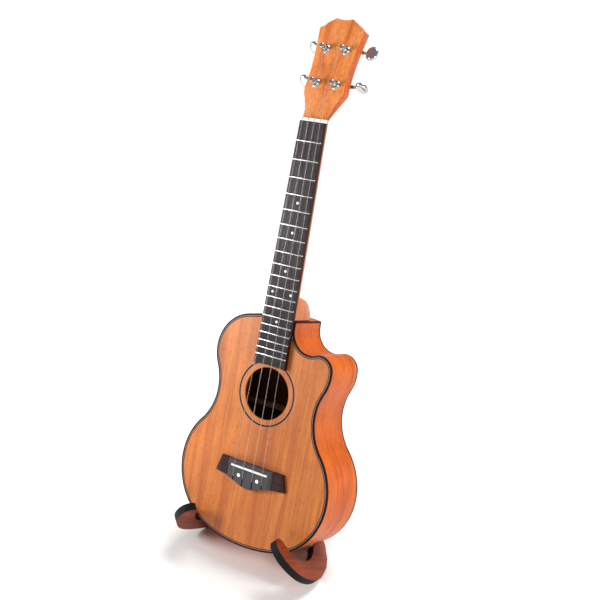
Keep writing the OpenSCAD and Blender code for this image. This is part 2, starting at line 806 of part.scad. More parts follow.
button_shaft(3);  // button_shaft_a
button(0);  // button_g
button(1);  // button_c
button(2);  // button_e
button(3);  // button_a
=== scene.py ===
"""Looks for the tenor cutaway ukulele on its two-board stand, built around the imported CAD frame."""
import math

import bmesh
import bpy
from mathutils import Matrix, Vector


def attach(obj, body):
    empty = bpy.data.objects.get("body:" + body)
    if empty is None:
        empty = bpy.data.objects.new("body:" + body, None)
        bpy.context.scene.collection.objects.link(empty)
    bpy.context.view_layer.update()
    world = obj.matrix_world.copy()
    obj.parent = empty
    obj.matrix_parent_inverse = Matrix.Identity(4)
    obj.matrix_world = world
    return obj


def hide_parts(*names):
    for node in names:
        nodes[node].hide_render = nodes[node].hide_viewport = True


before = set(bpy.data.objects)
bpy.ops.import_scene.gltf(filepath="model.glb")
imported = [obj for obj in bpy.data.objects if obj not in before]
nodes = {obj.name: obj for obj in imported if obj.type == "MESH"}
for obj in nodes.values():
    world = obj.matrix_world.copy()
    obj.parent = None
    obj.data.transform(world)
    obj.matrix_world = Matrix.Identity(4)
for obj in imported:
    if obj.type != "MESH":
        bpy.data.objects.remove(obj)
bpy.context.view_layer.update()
MM = 0.001

# ------ camera, light, floor
CAM_PLACE = (0.7310, -1.0288, 0.8147)
CAM_TILT = 68.773
CAM_TURN = 34.66
CAM_LENS = 66.66
WORLD_LIGHT = 0.25
OVERHEAD_LIGHT = 3.3
OVERHEAD_SPREAD = 38
OVERHEAD_WAY = (-0.22, -0.55, -1.0)
LIGHT_TARGET = 0.27
FLOOR_HALF = 40.0


def make_camera():
    data = bpy.data.cameras.new("camera")
    data.lens = CAM_LENS
    data.sensor_width = 36
    data.clip_start = 0.01
    cam = bpy.data.objects.new("camera", data)
    bpy.context.scene.collection.objects.link(cam)
    cam.location = CAM_PLACE
    cam.rotation_euler = (math.radians(CAM_TILT), 0, math.radians(CAM_TURN))
    bpy.context.scene.camera = cam


def area_light(name, place, target, size, power):
    data = bpy.data.lights.new(name, "AREA")
    data.shape = "DISK"
    data.size = size
    data.energy = power
    lamp = bpy.data.objects.new(name, data)
    bpy.context.scene.collection.objects.link(lamp)
    lamp.location = place
    way = Vector(target) - Vector(place)
    lamp.rotation_euler = way.to_track_quat("-Z", "Y").to_euler()


def make_studio():
    """White surroundings, dimmer as a light than they look, one wide overhead light and two lamps."""
    world = bpy.data.worlds.new("studio")
    bpy.context.scene.world = world
    world.use_nodes = True
    back = world.node_tree.nodes["Background"]
    back.inputs["Color"].default_value = (1.0, 1.0, 1.0, 1)
    rays = world.node_tree.nodes.new("ShaderNodeLightPath")
    strength = world.node_tree.nodes.new("ShaderNodeMapRange")
    strength.inputs["To Min"].default_value = WORLD_LIGHT
    world.node_tree.links.new(rays.outputs["Is Camera Ray"], strength.inputs["Value"])
    world.node_tree.links.new(strength.outputs["Result"], back.inputs["Strength"])
    sun = bpy.data.lights.new("overhead", "SUN")
    sun.energy = OVERHEAD_LIGHT
    sun.angle = math.radians(OVERHEAD_SPREAD)
    lamp = bpy.data.objects.new("overhead", sun)
    bpy.context.scene.collection.objects.link(lamp)
    lamp.rotation_euler = Vector(OVERHEAD_WAY).to_track_quat("-Z", "Y").to_euler()
    area_light("front_left", (-0.80, -0.75, 0.60), (0, -0.02, LIGHT_TARGET), 0.5, 12.5)
    area_light("right", (1.38, -0.36, 0.54), (0, 0, LIGHT_TARGET), 0.7, 8.0)
    view = bpy.context.scene.view_settings
    view.view_transform = "Standard"
    view.look = "None"
    view.exposure = 0.0


def make_floor():
    mesh = bpy.data.meshes.new("floor")
    corners = [(x * FLOOR_HALF, y * FLOOR_HALF, 0) for x, y in ((-1, -1), (1, -1), (1, 1), (-1, 1))]
    mesh.from_pydata(corners, [], [(0, 1, 2, 3)])
    floor = bpy.data.objects.new("floor", mesh)
    bpy.context.scene.collection.objects.link(floor)
    mat = bpy.data.materials.new("floor")
    mat.use_nodes = True
    shader = mat.node_tree.nodes["Principled BSDF"]
    shader.inputs["Base Color"].default_value = (0.90, 0.91, 0.90, 1)
    shader.inputs["Roughness"].default_value = 0.75
    mesh.materials.append(mat)


# ------ places
LEAN = 18.0
SADDLE = (0, -73.5, 124.0)
SCALE_LEN = 430.0
NUT_T = 4.0
HEAD_Y = SCALE_LEN + NUT_T
HEAD_TILT = 12.0
HEAD_T = 12.0
ROW = Matrix.Scale(MM, 4) @ Matrix.Translation(SADDLE) @ Matrix.Rotation(math.radians(90 - LEAN), 4, "X")
IDENTITY = Matrix.Identity(4)
HEAD = Matrix.Translation((0, HEAD_Y, 0)) @ Matrix.Rotation(math.radians(-HEAD_TILT), 4, "X")
POST_X = 14.2
POST_S = (44.0, 87.5, 87.5, 44.0)
POST_SIDE = (-1, -1, 1, 1)
LETTERS = "gcea"


def tuner_frame(i):
    """The frame of one tuner's post, mirrored on the bass side."""
    side = Matrix.Scale(-1, 4, (1, 0, 0)) if POST_SIDE[i] < 0 else IDENTITY
    return HEAD @ side @ Matrix.Translation((POST_X, POST_S[i], 0))


# ------ node-based materials
class Graph:
    """A small helper around one material's node tree."""

    def __init__(self, name):
        self.mat = bpy.data.materials.new(name)
        self.mat.use_nodes = True
        self.tree = self.mat.node_tree
        self.shader = self.tree.nodes["Principled BSDF"]
        self.coord = self.tree.nodes.new("ShaderNodeTexCoord").outputs["Object"]

    def link(self, a, b):
        self.tree.links.new(a, b)

    def put(self, socket, value):
        if hasattr(value, "node"):
            self.link(value, socket)
        else:
            socket.default_value = value

    def set(self, name, value):
        self.put(self.shader.inputs[name], value)

    def mapped(self, scale, turn=(0, 0, 0), move=(0, 0, 0)):
        node = self.tree.nodes.new("ShaderNodeMapping")
        self.link(self.coord, node.inputs["Vector"])
        node.inputs["Scale"].default_value = scale
        node.inputs["Rotation"].default_value = [math.radians(a) for a in turn]
        node.inputs["Location"].default_value = move
        return node.outputs["Vector"]

    def noise(self, vector, scale, detail=3.0, rough=0.55, warp=0.0):
        node = self.tree.nodes.new("ShaderNodeTexNoise")
        self.link(vector, node.inputs["Vector"])
        node.inputs["Scale"].default_value = scale
        node.inputs["Detail"].default_value = detail
        node.inputs["Roughness"].default_value = rough
        node.inputs["Distortion"].default_value = warp
        return node.outputs["Fac"]

    def ramp(self, fac, stops):
        node = self.tree.nodes.new("ShaderNodeValToRGB")
        self.link(fac, node.inputs["Fac"])
        ramp = node.color_ramp
        while len(ramp.elements) < len(stops):
            ramp.elements.new(0.5)
        for element, (place, color) in zip(ramp.elements, stops):
            element.position = place
            element.color = (*color, 1) if len(color) == 3 else color
        return node.outputs["Color"]

    def levels(self, fac, low, high, out_low=0.0, out_high=1.0):
        node = self.tree.nodes.new("ShaderNodeMapRange")
        self.link(fac, node.inputs["Value"])
        limits = {"From Min": low, "From Max": high, "To Min": out_low, "To Max": out_high}
        for name, value in limits.items():
            node.inputs[name].default_value = value
        return node.outputs["Result"]

    def mix(self, kind, fac, a, b):
        node = self.tree.nodes.new("ShaderNodeMix")
        node.data_type = "RGBA"
        node.blend_type = kind
        self.put(node.inputs[0], fac)
        self.put(node.inputs[6], (*a, 1) if isinstance(a, tuple) else a)
        self.put(node.inputs[7], (*b, 1) if isinstance(b, tuple) else b)
        return node.outputs[2]

    def math(self, kind, a, b=0.0):
        node = self.tree.nodes.new("ShaderNodeMath")
        node.operation = kind
        self.put(node.inputs[0], a)
        self.put(node.inputs[1], b)
        return node.outputs[0]

    def bump(self, height, strength, distance):
        node = self.tree.nodes.new("ShaderNodeBump")
        self.link(height, node.inputs["Height"])
        node.inputs["Strength"].default_value = strength
        node.inputs["Distance"].default_value = distance
        self.link(node.outputs["Normal"], self.shader.inputs["Normal"])


# How fine the wood's fibres, ribbon figure and pores are, per millimetre across the grain
FIBRE_SCALE = 0.9
FIGURE_SCALE = 0.055
PORE_SCALE = 0.9


def srgb(r, g, b):
    """A colour given as it looks on screen, 0 to 255, as linear light."""
    return tuple((c / 255 / 12.92) if c <= 10 else ((c / 255 + 0.055) / 1.055) ** 2.4 for c in (r, g, b))


def wood(name, light, mid, dark, along=(1, 0.045, 1), band=0.05, pore_dark=0.6, gloss=0.42, coat=0.08,
         unit=1.0, move=(0, 0, 0), turn=(0, 0, 0), shine=0.35, tint=None):
    """Hardwood with broad colour bands, fine fibre, ribbon figure and short dark pores along one axis.
    unit is the number of millimetres in one unit of the mesh."""
    g = Graph(name)
    light, mid, dark = srgb(*light), srgb(*mid), srgb(*dark)

    def drawn_out(*by):
        return g.mapped([unit * a * b for a, b in zip(along, by)], turn, move)

    bands = g.noise(drawn_out(1, 1, 1), band, 4.0, 0.6, 0.6)
    fibres = g.noise(drawn_out(1, 0.35, 1), FIBRE_SCALE, 5.0, 0.7)
    figure = g.noise(drawn_out(0.5, 9, 0.5), FIGURE_SCALE, 2.0, 0.5)
    pores = g.noise(drawn_out(1, 3.6, 1), PORE_SCALE, 2.0, 0.5)
    pits = g.levels(pores, 0.61, 0.69)
    color = g.ramp(bands, [(0.30, dark), (0.43, mid), (0.56, light), (0.66, mid), (0.78, light)])
    fibre_shade = g.ramp(fibres, [(0.30, (0.62, 0.52, 0.46)), (0.58, (1.08, 1.07, 1.06))])
    color = g.mix("MULTIPLY", 0.75, color, fibre_shade)
    figure_shade = g.ramp(figure, [(0.30, (0.80, 0.76, 0.72)), (0.70, (1.12, 1.10, 1.08))])
    color = g.mix("MULTIPLY", 0.5, color, figure_shade)
    color = g.mix("MULTIPLY", g.math("MULTIPLY", pits, pore_dark), color, (0.30, 0.20, 0.16))
    if tint:
        color = tint(g, color)
    g.set("Base Color", color)
    g.set("Roughness", g.levels(fibres, 0.25, 0.75, gloss + 0.07, gloss - 0.05))
    g.set("Coat Weight", coat)
    g.set("Coat Roughness", 0.22)
    g.set("Specular IOR Level", shine)
    height = g.math("SUBTRACT", g.math("MULTIPLY", fibres, 0.35), pits)
    g.bump(height, 0.10, 0.12 * MM)
    return g.mat


def lacquer(name, color, spread, rough, scale, coat=0.0, bump=0.0, shine=0.5):
    """A moulded or painted surface with slight mottling and worn gloss."""
    g = Graph(name)
    color = srgb(*color)
    speckle = g.noise(g.mapped((1, 1, 1)), scale, 4.0, 0.6)
    low = tuple(c * (1 - spread) for c in color)
    high = tuple(min(1, c * (1 + spread)) for c in color)
    g.set("Base Color", g.ramp(speckle, [(0.3, low), (0.7, high)]))
    g.set("Roughness", g.levels(speckle, 0.2, 0.8, rough * 0.8, rough * 1.25))
    g.set("Coat Weight", coat)
    g.set("Specular IOR Level", shine)
    if bump:
        g.bump(speckle, bump, 0.1 * MM)
    return g.mat


def metal(name, color, rough, scale, brushed=(1, 1, 1), plate=1.0):
    """Plated or machined metal with faint smears, drawn out along one axis where it is brushed."""
    g = Graph(name)
    smear = g.noise(g.mapped(brushed), scale, 4.0, 0.65)
    dim = tuple(c * 0.86 for c in color)
    g.set("Base Color", g.ramp(smear, [(0.35, dim), (0.65, color)]))
    g.set("Metallic", plate)
    g.set("Roughness", g.levels(smear, 0.25, 0.75, rough * 0.7, rough * 1.6))
    g.bump(smear, 0.04, 0.05 * MM)
    return g.mat


def nylon():
    """Clear string."""
    g = Graph("nylon")
    shade = g.noise(g.mapped((1, 0.02, 1)), 0.5, 2.0, 0.5)
    g.set("Base Color", g.ramp(shade, [(0.3, srgb(214, 217, 220)), (0.7, srgb(240, 242, 243))]))
    g.set("Roughness", g.levels(shade, 0.3, 0.7, 0.16, 0.24))
    g.set("Transmission Weight", 0.85)
    g.set("IOR", 1.40)
    return g.mat


def along_axis(g, axis):
    """The place along one axis of the instrument, in millimetres."""
    place = g.tree.nodes.new("ShaderNodeSeparateXYZ")
    g.link(g.coord, place.inputs[0])
    return place.outputs[axis]


def painted_shade_treble(g, color):
    """Painted shade: the plate is painted slowly darker towards the treble side, where less lamp light
    falls.
    """
    shade = g.levels(along_axis(g, 0), -70, 60, 0.96, 0.84)
    return g.mix("MULTIPLY", 1.0, color, shade)


def painted_light_at_nut(g, color):
    """Painted light: the fretboard is painted paler towards the nut, where more light falls."""
    shade = g.levels(along_axis(g, 1), 160, 420, 0.84, 1.9)
    return g.mix("MULTIPLY", 1.0, color, shade)


def painted_reflection_middle(g, color):
    """Painted reflection: the raised middle of the bridge is painted a paler grey, as its flat top mirrors
    the white surroundings.
    """
    middle = g.levels(g.math("ABSOLUTE", along_axis(g, 0)), 33.6, 32.4)
    return g.mix("MIX", g.math("MULTIPLY", middle, 0.85), color, srgb(72, 69, 72))


# The top's colour carries painted shade, darker towards the treble side.
TOP_WOOD = wood("top_wood", (208, 122, 49), (190, 102, 37), (152, 72, 26), band=0.045, tint=painted_shade_treble)
SIDE_WOOD = wood("side_wood", (210, 102, 20), (198, 90, 14), (172, 72, 10),
                 along=(0.10, 0.10, 1.0), shine=0.2)
BACK_WOOD = wood("back_wood", (196, 100, 44), (180, 84, 34), (146, 62, 24), band=0.045, move=(40, 11, 0))
# Bare wood for the body's inside, darkened with painted shade.
SHADED_INSIDE_WOOD = wood("inside_wood_painted_shade", (96, 58, 30), (78, 44, 22), (50, 28, 14), band=0.045, gloss=0.7, coat=0.0)
HEAD_WOOD = wood("head_wood", (243, 152, 84), (233, 136, 68), (212, 110, 52), move=(300, 0, 0))
# The headstock's sides: the face's wood painted darker and redder as shade.
SHADED_HEAD_SIDE = wood("head_side_painted_shade", (214, 104, 44), (200, 92, 36), (172, 74, 28), move=(300, 0, 9))
NECK_WOOD = wood("neck_wood", (206, 122, 70), (190, 104, 56), (158, 82, 42), band=0.06, move=(90, 0, 7))
OILED = {"pore_dark": 0.7, "coat": 0.0, "shine": 0.2}
# The fretboard's colour carries painted light, paler towards the nut.
DARK_WOOD = wood("dark_wood", (50, 44, 46), (40, 34, 36), (28, 24, 26), band=0.09, gloss=0.50,
                 tint=painted_light_at_nut, **OILED)
BOARD_SIDE = wood("board_side", (46, 18, 17), (36, 14, 14), (26, 10, 10), band=0.10, gloss=0.45, **OILED)
# The bridge's colour carries a painted reflection on its raised middle.
BRIDGE_WOOD = wood("bridge_wood", (58, 26, 28), (44, 20, 22), (30, 14, 16), along=(0.05, 1, 1),
                   band=0.10, gloss=0.40, tint=painted_reflection_middle, **OILED)
STAND_FACE = wood("stand_face", (140, 60, 28), (122, 48, 21), (96, 36, 15), band=0.06, gloss=0.5,
                  coat=0.0, shine=0.2)
STAND_EDGE = lacquer("stand_edge", (18, 23, 22), 0.25, 0.65, 0.35, bump=0.25, shine=0.12)
BINDING = lacquer("binding", (32, 15, 12), 0.20, 0.42, 0.15, shine=0.1)
PALE_LINE = lacquer("pale_line", (150, 116, 100), 0.10, 0.45, 0.3, shine=0.3)
DARK_LINE = lacquer("dark_line", (34, 21, 19), 0.20, 0.45, 0.2, shine=0.1)
BONE = lacquer("bone", (242, 240, 234), 0.04, 0.25, 0.25, coat=0.2)
PEARL = lacquer("pearl", (240, 240, 236), 0.06, 0.22, 0.6, coat=0.4)
CHROME = metal("chrome", (0.55, 0.56, 0.58), 0.12, 0.25, plate=0.92)
STEEL_COLOR = (0.74, 0.73, 0.71)
STEEL = metal("steel", STEEL_COLOR, 0.20, 0.6, (0.1, 1, 1))
FRET_METAL = metal("fret_metal", (0.62, 0.61, 0.60), 0.22, 0.5, (0.08, 1, 1))
DARK_METAL = metal("dark_metal", (0.20, 0.20, 0.21), 0.30, 0.4)
NYLON = nylon()


# ------ mesh helpers
def clean(mesh):
    """Joins points that coincide and turns all faces outwards."""
    bm = bmesh.new()
    bm.from_mesh(mesh)
    bmesh.ops.remove_doubles(bm, verts=bm.verts, dist=0.0005)
    bmesh.ops.recalc_face_normals(bm, faces=bm.faces)
    bm.to_mesh(mesh)
    bm.free()


def shade(mesh, angle):
    """Smooth shading, with every edge sharper than the angle kept sharp."""
    for poly in mesh.polygons:
        poly.use_smooth = True
    limit = math.radians(angle)
    bm = bmesh.new()
    bm.from_mesh(mesh)
    for edge in bm.edges:
        edge.smooth = len(edge.link_faces) == 2 and edge.calc_face_angle(0) < limit
    bm.to_mesh(mesh)
    bm.free()


def put_in_scene(name, mesh, body, stands_for, place, smooth):
    """An object for a finished mesh, tied to its body, with the CAD nodes it stands for hidden."""
    obj = bpy.data.objects.new(name, mesh)
    bpy.context.scene.collection.objects.link(obj)
    obj.matrix_world = place
    shade(mesh, smooth)
    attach(obj, body)
    if stands_for:
        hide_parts(*stands_for)
    return obj


def add_piece(name, shape, mat, body, stands_for=(), local=IDENTITY, smooth=35):
    """One mesh piece from its (points, faces). The points are millimetres in the frame `local`, which is
    placed in the instrument's frame."""
    verts, faces = shape
    flip = local.determinant() < 0
    mesh = bpy.data.meshes.new(name)
    points = [local @ Vector(v) for v in verts]
    mesh.from_pydata(points, [], [tuple(reversed(f)) for f in faces] if flip else faces)
    mesh.materials.append(mat)
    mesh.validate()
    clean(mesh)
    return put_in_scene(name, mesh, body, stands_for, ROW, smooth)


def loft(rings):
    """Skin over closed rings of equally many points, with both ends filled."""
    n = len(rings[0])
    verts = [p for r in rings for p in r]
    faces = []
    for i in range(len(rings) - 1):
        for j in range(n):
            k = (j + 1) % n
            faces.append((i * n + j, i * n + k, (i + 1) * n + k, (i + 1) * n + j))
    faces.append(tuple(range(n - 1, -1, -1)))
    faces.append(tuple((len(rings) - 1) * n + j for j in range(n)))
    return verts, faces


def at_angle(cx, cy, r, degrees):
    """The point of a circle at an angle in degrees."""
    a = math.radians(degrees)
    return cx + r * math.cos(a), cy + r * math.sin(a)


def lathe(profile, segments=48):
    """Turns (radius, z) points about z. Ends on the axis close by themselves."""
    verts, faces = [], []
    rows = []
    for r, z in profile:
        if r < 1e-6:
            rows.append([len(verts)])
            verts.append((0, 0, z))
        else:
            rows.append(list(range(len(verts), len(verts) + segments)))
            for k in range(segments):
                a = 2 * math.pi * k / segments
                verts.append((r * math.cos(a), r * math.sin(a), z))
    for a, b in zip(rows, rows[1:]):
        for k in range(segments):
            m = (k + 1) % segments
            if len(a) == 1 and len(b) > 1:
                faces.append((a[0], b[m], b[k]))
            elif len(b) == 1 and len(a) > 1:
                faces.append((a[k], a[m], b[0]))
            elif len(a) > 1:
                faces.append((a[k], a[m], b[m], b[k]))
    return verts, faces


def join(*parts):
    """Joins (verts, faces) parts, each with its own frame if given as (verts, faces, matrix)."""
    verts, faces = [], []
    for part in parts:
        base = len(verts)
        matrix = part[2] if len(part) > 2 else IDENTITY
        flip = matrix.determinant() < 0
        verts += [tuple(matrix @ Vector(v)) for v in part[0]]
        for f in part[1]:
            f = tuple(base + i for i in f)
            faces.append(tuple(reversed(f)) if flip else f)
    return verts, faces


def tube(path, radius, sides=14):
    """A round tube along a path, with the frame carried from point to point."""
    points = [Vector(p) for p in path]
    rings = []
    side = None
    for i, p in enumerate(points):
        way = (points[min(i + 1, len(points) - 1)] - points[max(i - 1, 0)]).normalized()
        if side is None:
            side = way.cross(Vector((0, 0, 1)))
            if side.length < 0.1:
                side = way.cross(Vector((1, 0, 0)))
        side = (side - way * side.dot(way)).normalized()
        up = side.cross(way)
        angles = [2 * math.pi * k / sides for k in range(sides)]
        rings.append([tuple(p + radius * (math.cos(a) * side + math.sin(a) * up)) for a in angles])
    return loft(rings)


def catmull_rom(a, b, c, d, t):
    """One coordinate between b and c, with a before them and d after."""
    return 0.5 * (2 * b + (c - a) * t + (2 * a - 5 * b + 4 * c - d) * t * t
                  + (3 * b - a - 3 * c + d) * t ** 3)


def spline(points, steps):
    """Catmull-Rom curve through points of any dimension, without its last point."""
    out = []
    last = len(points) - 1
    for i in range(last):
        a, b = points[max(i - 1, 0)], points[i]
        c, d = points[i + 1], points[min(i + 2, last)]
        for j in range(steps):
            out.append(tuple(catmull_rom(*four, j / steps) for four in zip(a, b, c, d)))
    return out


def slab(name, loops, z0, z1, mats, body, stands_for, local=IDENTITY, bevel=0.0, segments=3,
         smooth=35, place=ROW, cuts=()):
    """A flat plate from closed 2-D loops (outline first, then holes), with rounded edges.
    mats holds the material of the flat faces, and one for the edges if that is another.
    cuts holds (point, outward normal) planes that trim it."""
    edge_mat = len(mats) - 1
    bm = bmesh.new()
    for loop in loops:
        vs = [bm.verts.new((x, y, z0)) for x, y in loop]
        for i, v in enumerate(vs):
            bm.edges.new((v, vs[(i + 1) % len(vs)]))
    fill = bmesh.ops.triangle_fill(bm, use_beauty=True, use_dissolve=False, edges=bm.edges[:])
    faces = [f for f in fill["geom"] if isinstance(f, bmesh.types.BMFace)]
    grown = bmesh.ops.extrude_face_region(bm, geom=faces)
    far_side = [v for v in grown["geom"] if isinstance(v, bmesh.types.BMVert)]
    bmesh.ops.translate(bm, vec=(0, 0, z1 - z0), verts=far_side)
    bmesh.ops.recalc_face_normals(bm, faces=bm.faces[:])
    for f in bm.faces:
        f.normal_update()
        f.material_index = 0 if abs(f.normal.z) > 0.9 else edge_mat
    if bevel:
        rim = [e for e in bm.edges if len(e.link_faces) == 2 and e.calc_face_angle(0) > math.radians(60)
               and abs(e.verts[0].co.z - e.verts[1].co.z) < 1e-6]
        bmesh.ops.bevel(bm, geom=rim, offset=bevel, segments=segments, profile=0.5, affect="EDGES",
                        material=edge_mat, clamp_overlap=True)
    for point, normal in cuts:
        everything = bm.verts[:] + bm.edges[:] + bm.faces[:]
        cut = bmesh.ops.bisect_plane(bm, geom=everything, dist=1e-5, plane_co=point, plane_no=normal,
                                     clear_outer=True)
        rim = [e for e in cut["geom_cut"] if isinstance(e, bmesh.types.BMEdge)]
        for f in bmesh.ops.triangle_fill(bm, use_beauty=True, edges=rim)["geom"]:
            if isinstance(f, bmesh.types.BMFace):
                f.material_index = edge_mat
        bmesh.ops.recalc_face_normals(bm, faces=bm.faces[:])
    bmesh.ops.transform(bm, matrix=local, verts=bm.verts)
    if local.determinant() < 0:
        bmesh.ops.reverse_faces(bm, faces=bm.faces[:])
    mesh = bpy.data.meshes.new(name)
    bm.to_mesh(mesh)
    bm.free()
    for mat in mats:
        mesh.materials.append(mat)
    put_in_scene(name, mesh, body, stands_for, place, smooth)


# ------ the body's outline, as tangent arcs
BOUT_R, BOUT_X, BOUT_Y = 82.0, 29.0, -12.5
TAIL_Y, TOP_Y = -99.0, 192.6
WAIST_Y, WAIST_HALF = 86.0, 73.6
UPPER_R, UPPER_X = 50.0, 35.8
HORN_R, HORN_TURN = 19.0, 5.0
CUT_X, CUT_R = 23.4, 26.0
tail_gap = -TAIL_Y - BOUT_R
TAIL_CY = (BOUT_X ** 2 + BOUT_Y ** 2 - tail_gap ** 2) / (2 * (tail_gap + BOUT_Y))
TAIL_R = TAIL_CY - TAIL_Y
waist_dx, waist_dy = WAIST_HALF - BOUT_X, WAIST_Y - BOUT_Y
WAIST_R = (waist_dx ** 2 + waist_dy ** 2 - BOUT_R ** 2) / (2 * (BOUT_R - waist_dx))
WAIST_X = WAIST_HALF + WAIST_R
UPPER_Y = WAIST_Y + math.sqrt((WAIST_R + UPPER_R) ** 2 - (WAIST_X - UPPER_X) ** 2)
top_m = TOP_Y - UPPER_R
TOP_CY = (top_m ** 2 - UPPER_X ** 2 - UPPER_Y ** 2) / (2 * (top_m - UPPER_Y))
TOP_R = TOP_Y - TOP_CY
HORN_X = UPPER_X + (UPPER_R - HORN_R) * math.cos(math.radians(HORN_TURN))
HORN_Y = UPPER_Y + (UPPER_R - HORN_R) * math.sin(math.radians(HORN_TURN))
CUT_CX = CUT_X + CUT_R
CUT_CY = HORN_Y + math.sqrt((CUT_R + HORN_R) ** 2 - (CUT_CX - HORN_X) ** 2)


def degrees_of(dy, dx):
    return math.degrees(math.atan2(dy, dx))


A_TAIL = degrees_of(BOUT_Y - TAIL_CY, BOUT_X)
A_WAIST = degrees_of(waist_dy, WAIST_X - BOUT_X)
A_UPPER = degrees_of(UPPER_Y - WAIST_Y, UPPER_X - WAIST_X)
A_HORN = degrees_of(CUT_CY - HORN_Y, CUT_CX - HORN_X)
A_TOP = degrees_of(UPPER_Y - TOP_CY, -UPPER_X)
ARC_STEP = 1.6


def arc(cx, cy, r, a0, a1):
    """Points along an arc, without its first one."""
    n = math.ceil(abs(a1 - a0) / ARC_STEP)
    return [at_angle(cx, cy, r, a0 + (a1 - a0) * i / n) for i in range(1, n + 1)]


def outline(d):
    """The body's outline moved inwards by d. Every offset has the same number of points."""
    corner = math.degrees(math.acos((CUT_X - d) / (TOP_R - d)))
    outer_corner = math.degrees(math.acos(CUT_X / TOP_R))
    n_top = math.ceil(abs(A_TOP - outer_corner) / ARC_STEP)
    top = [at_angle(0, TOP_CY, TOP_R - d, corner + (A_TOP - corner) * i / n_top) for i in range(n_top + 1)]
    return (arc(0, TAIL_CY, TAIL_R - d, 180 - A_TAIL, 360 + A_TAIL)
            + arc(BOUT_X, BOUT_Y, BOUT_R - d, A_TAIL, A_WAIST)
            + arc(WAIST_X, WAIST_Y, WAIST_R + d, 180 + A_WAIST, A_UPPER)
            + arc(UPPER_X, UPPER_Y, UPPER_R - d, A_UPPER - 180, HORN_TURN)
            + arc(HORN_X, HORN_Y, HORN_R - d, HORN_TURN, A_HORN)
            + arc(CUT_CX, CUT_CY, CUT_R + d, 180 + A_HORN, 180)
            + top
            + arc(-UPPER_X, UPPER_Y, UPPER_R - d, A_TOP, 360 - A_UPPER)
            + arc(-WAIST_X, WAIST_Y, WAIST_R + d, 180 - A_UPPER, -A_WAIST)
            + arc(-BOUT_X, BOUT_Y, BOUT_R - d, 180 - A_WAIST, 180 - A_TAIL))


DEPTH, RISE = 71.3, 0.062
BIND_W, BIND_H, PALE_W, DARK_W = 2.4, 2.0, 0.7, 1.1
PURF_T, TOP_T, BACK_T, SIDE_T, BACK_BIND = 1.5, 2.2, 2.2, 2.0, 3.0
PLATE_IN = BIND_W + PALE_W + DARK_W
HOLE_Y, HOLE_R, HOLE_SIDES = 96.3, 32.4, 128
RING_IN, RING_OUT, RING_LINE = 38.3, 41.5, 0.6
RING_T, RING_PROUD, LINE_PROUD = 0.6, 0.03, 0.01
EDGE_R = 0.5
CORNER_W, CORNER_L = 2.0, 3.4


def back_z(y, lift=0.0):
    """The back plate's outer face, which rises towards the neck."""
    return -DEPTH + RISE * y + lift


def hole_circle(r):
    """A circle around the soundhole's centre."""
    angles = [2 * math.pi * k / HOLE_SIDES for k in range(HOLE_SIDES)]
    return [(r * math.cos(a), HOLE_Y + r * math.sin(a)) for a in angles]


def strip(name, profile, mat, stands_for):
    """A closed band around the body. profile holds (inset, z) with z a number or a function of y."""
    rings = []
    for inset, z in profile:
        rings.append([(x, y, z(y) if callable(z) else z) for x, y in outline(inset)])
    n = len(rings[0])
    verts = [p for r in rings for p in r]
    faces = []
    m = len(rings)
    for i in range(m):
        for j in range(n):
            k = (j + 1) % n
            a, b = i, (i + 1) % m
            faces.append((a * n + j, a * n + k, b * n + k, b * n + j))
    add_piece(name, (verts, faces), mat, "instrument", stands_for, smooth=40)


def make_edges():
    """The bindings, the two inlaid lines and the sides, which all run right round the body."""
    def rear_edge(y):
        return back_z(y, BACK_BIND)

    def rear_soft(y):
        return back_z(y, EDGE_R)

    def rear_softer(y):
        return back_z(y, EDGE_R * 0.3)

    front = [(0, -BIND_H), (0, -EDGE_R), (EDGE_R * 0.3, -EDGE_R * 0.3), (EDGE_R, 0), (BIND_W, 0),
             (BIND_W, -BIND_H)]
    strip("body_binding_front", front, BINDING, ["binding_front"])
    for name, start, end, mat, slot, cad in (
            ("body_line_pale", BIND_W, BIND_W + PALE_W, PALE_LINE, "pale_line", "purfling_pale"),
            ("body_line_dark", BIND_W + PALE_W, PLATE_IN, DARK_LINE, "dark_binding", "purfling_dark")):
        line = [(start, LINE_PROUD), (end, LINE_PROUD), (end, -PURF_T), (start, -PURF_T)]
        strip(name, line, mat, [cad])
    strip("body_sides", [(0, -BIND_H), (SIDE_T, -BIND_H), (SIDE_T, rear_edge), (0, rear_edge)], SIDE_WOOD,
          ["side_bass", "side_treble"])
    rear = [(0, rear_edge), (0, rear_soft), (EDGE_R * 0.3, rear_softer), (EDGE_R, back_z), (SIDE_T, back_z),
            (SIDE_T, rear_edge)]
    strip("body_binding_back", rear, BINDING, ["binding_back"])


def make_back():
    """The back plate, with its inner face in duller bare wood, painted darker as shade inside the body."""
    loop = outline(SIDE_T)
    n = len(loop)
    verts = [(x, y, back_z(y)) for x, y in loop] + [(x, y, back_z(y, BACK_T)) for x, y in loop]
    faces = [tuple(range(n - 1, -1, -1)), tuple(range(n, 2 * n))]
    faces += [(j, (j + 1) % n, n + (j + 1) % n, n + j) for j in range(n)]
    back = add_piece("body_back", (verts, faces), BACK_WOOD, "instrument", ["back_plate"])
    back.data.materials.append(SHADED_INSIDE_WOOD)
    for poly in back.data.polygons:
        poly.material_index = 1 if len(poly.vertices) > 4 and poly.normal.z > 0 else 0


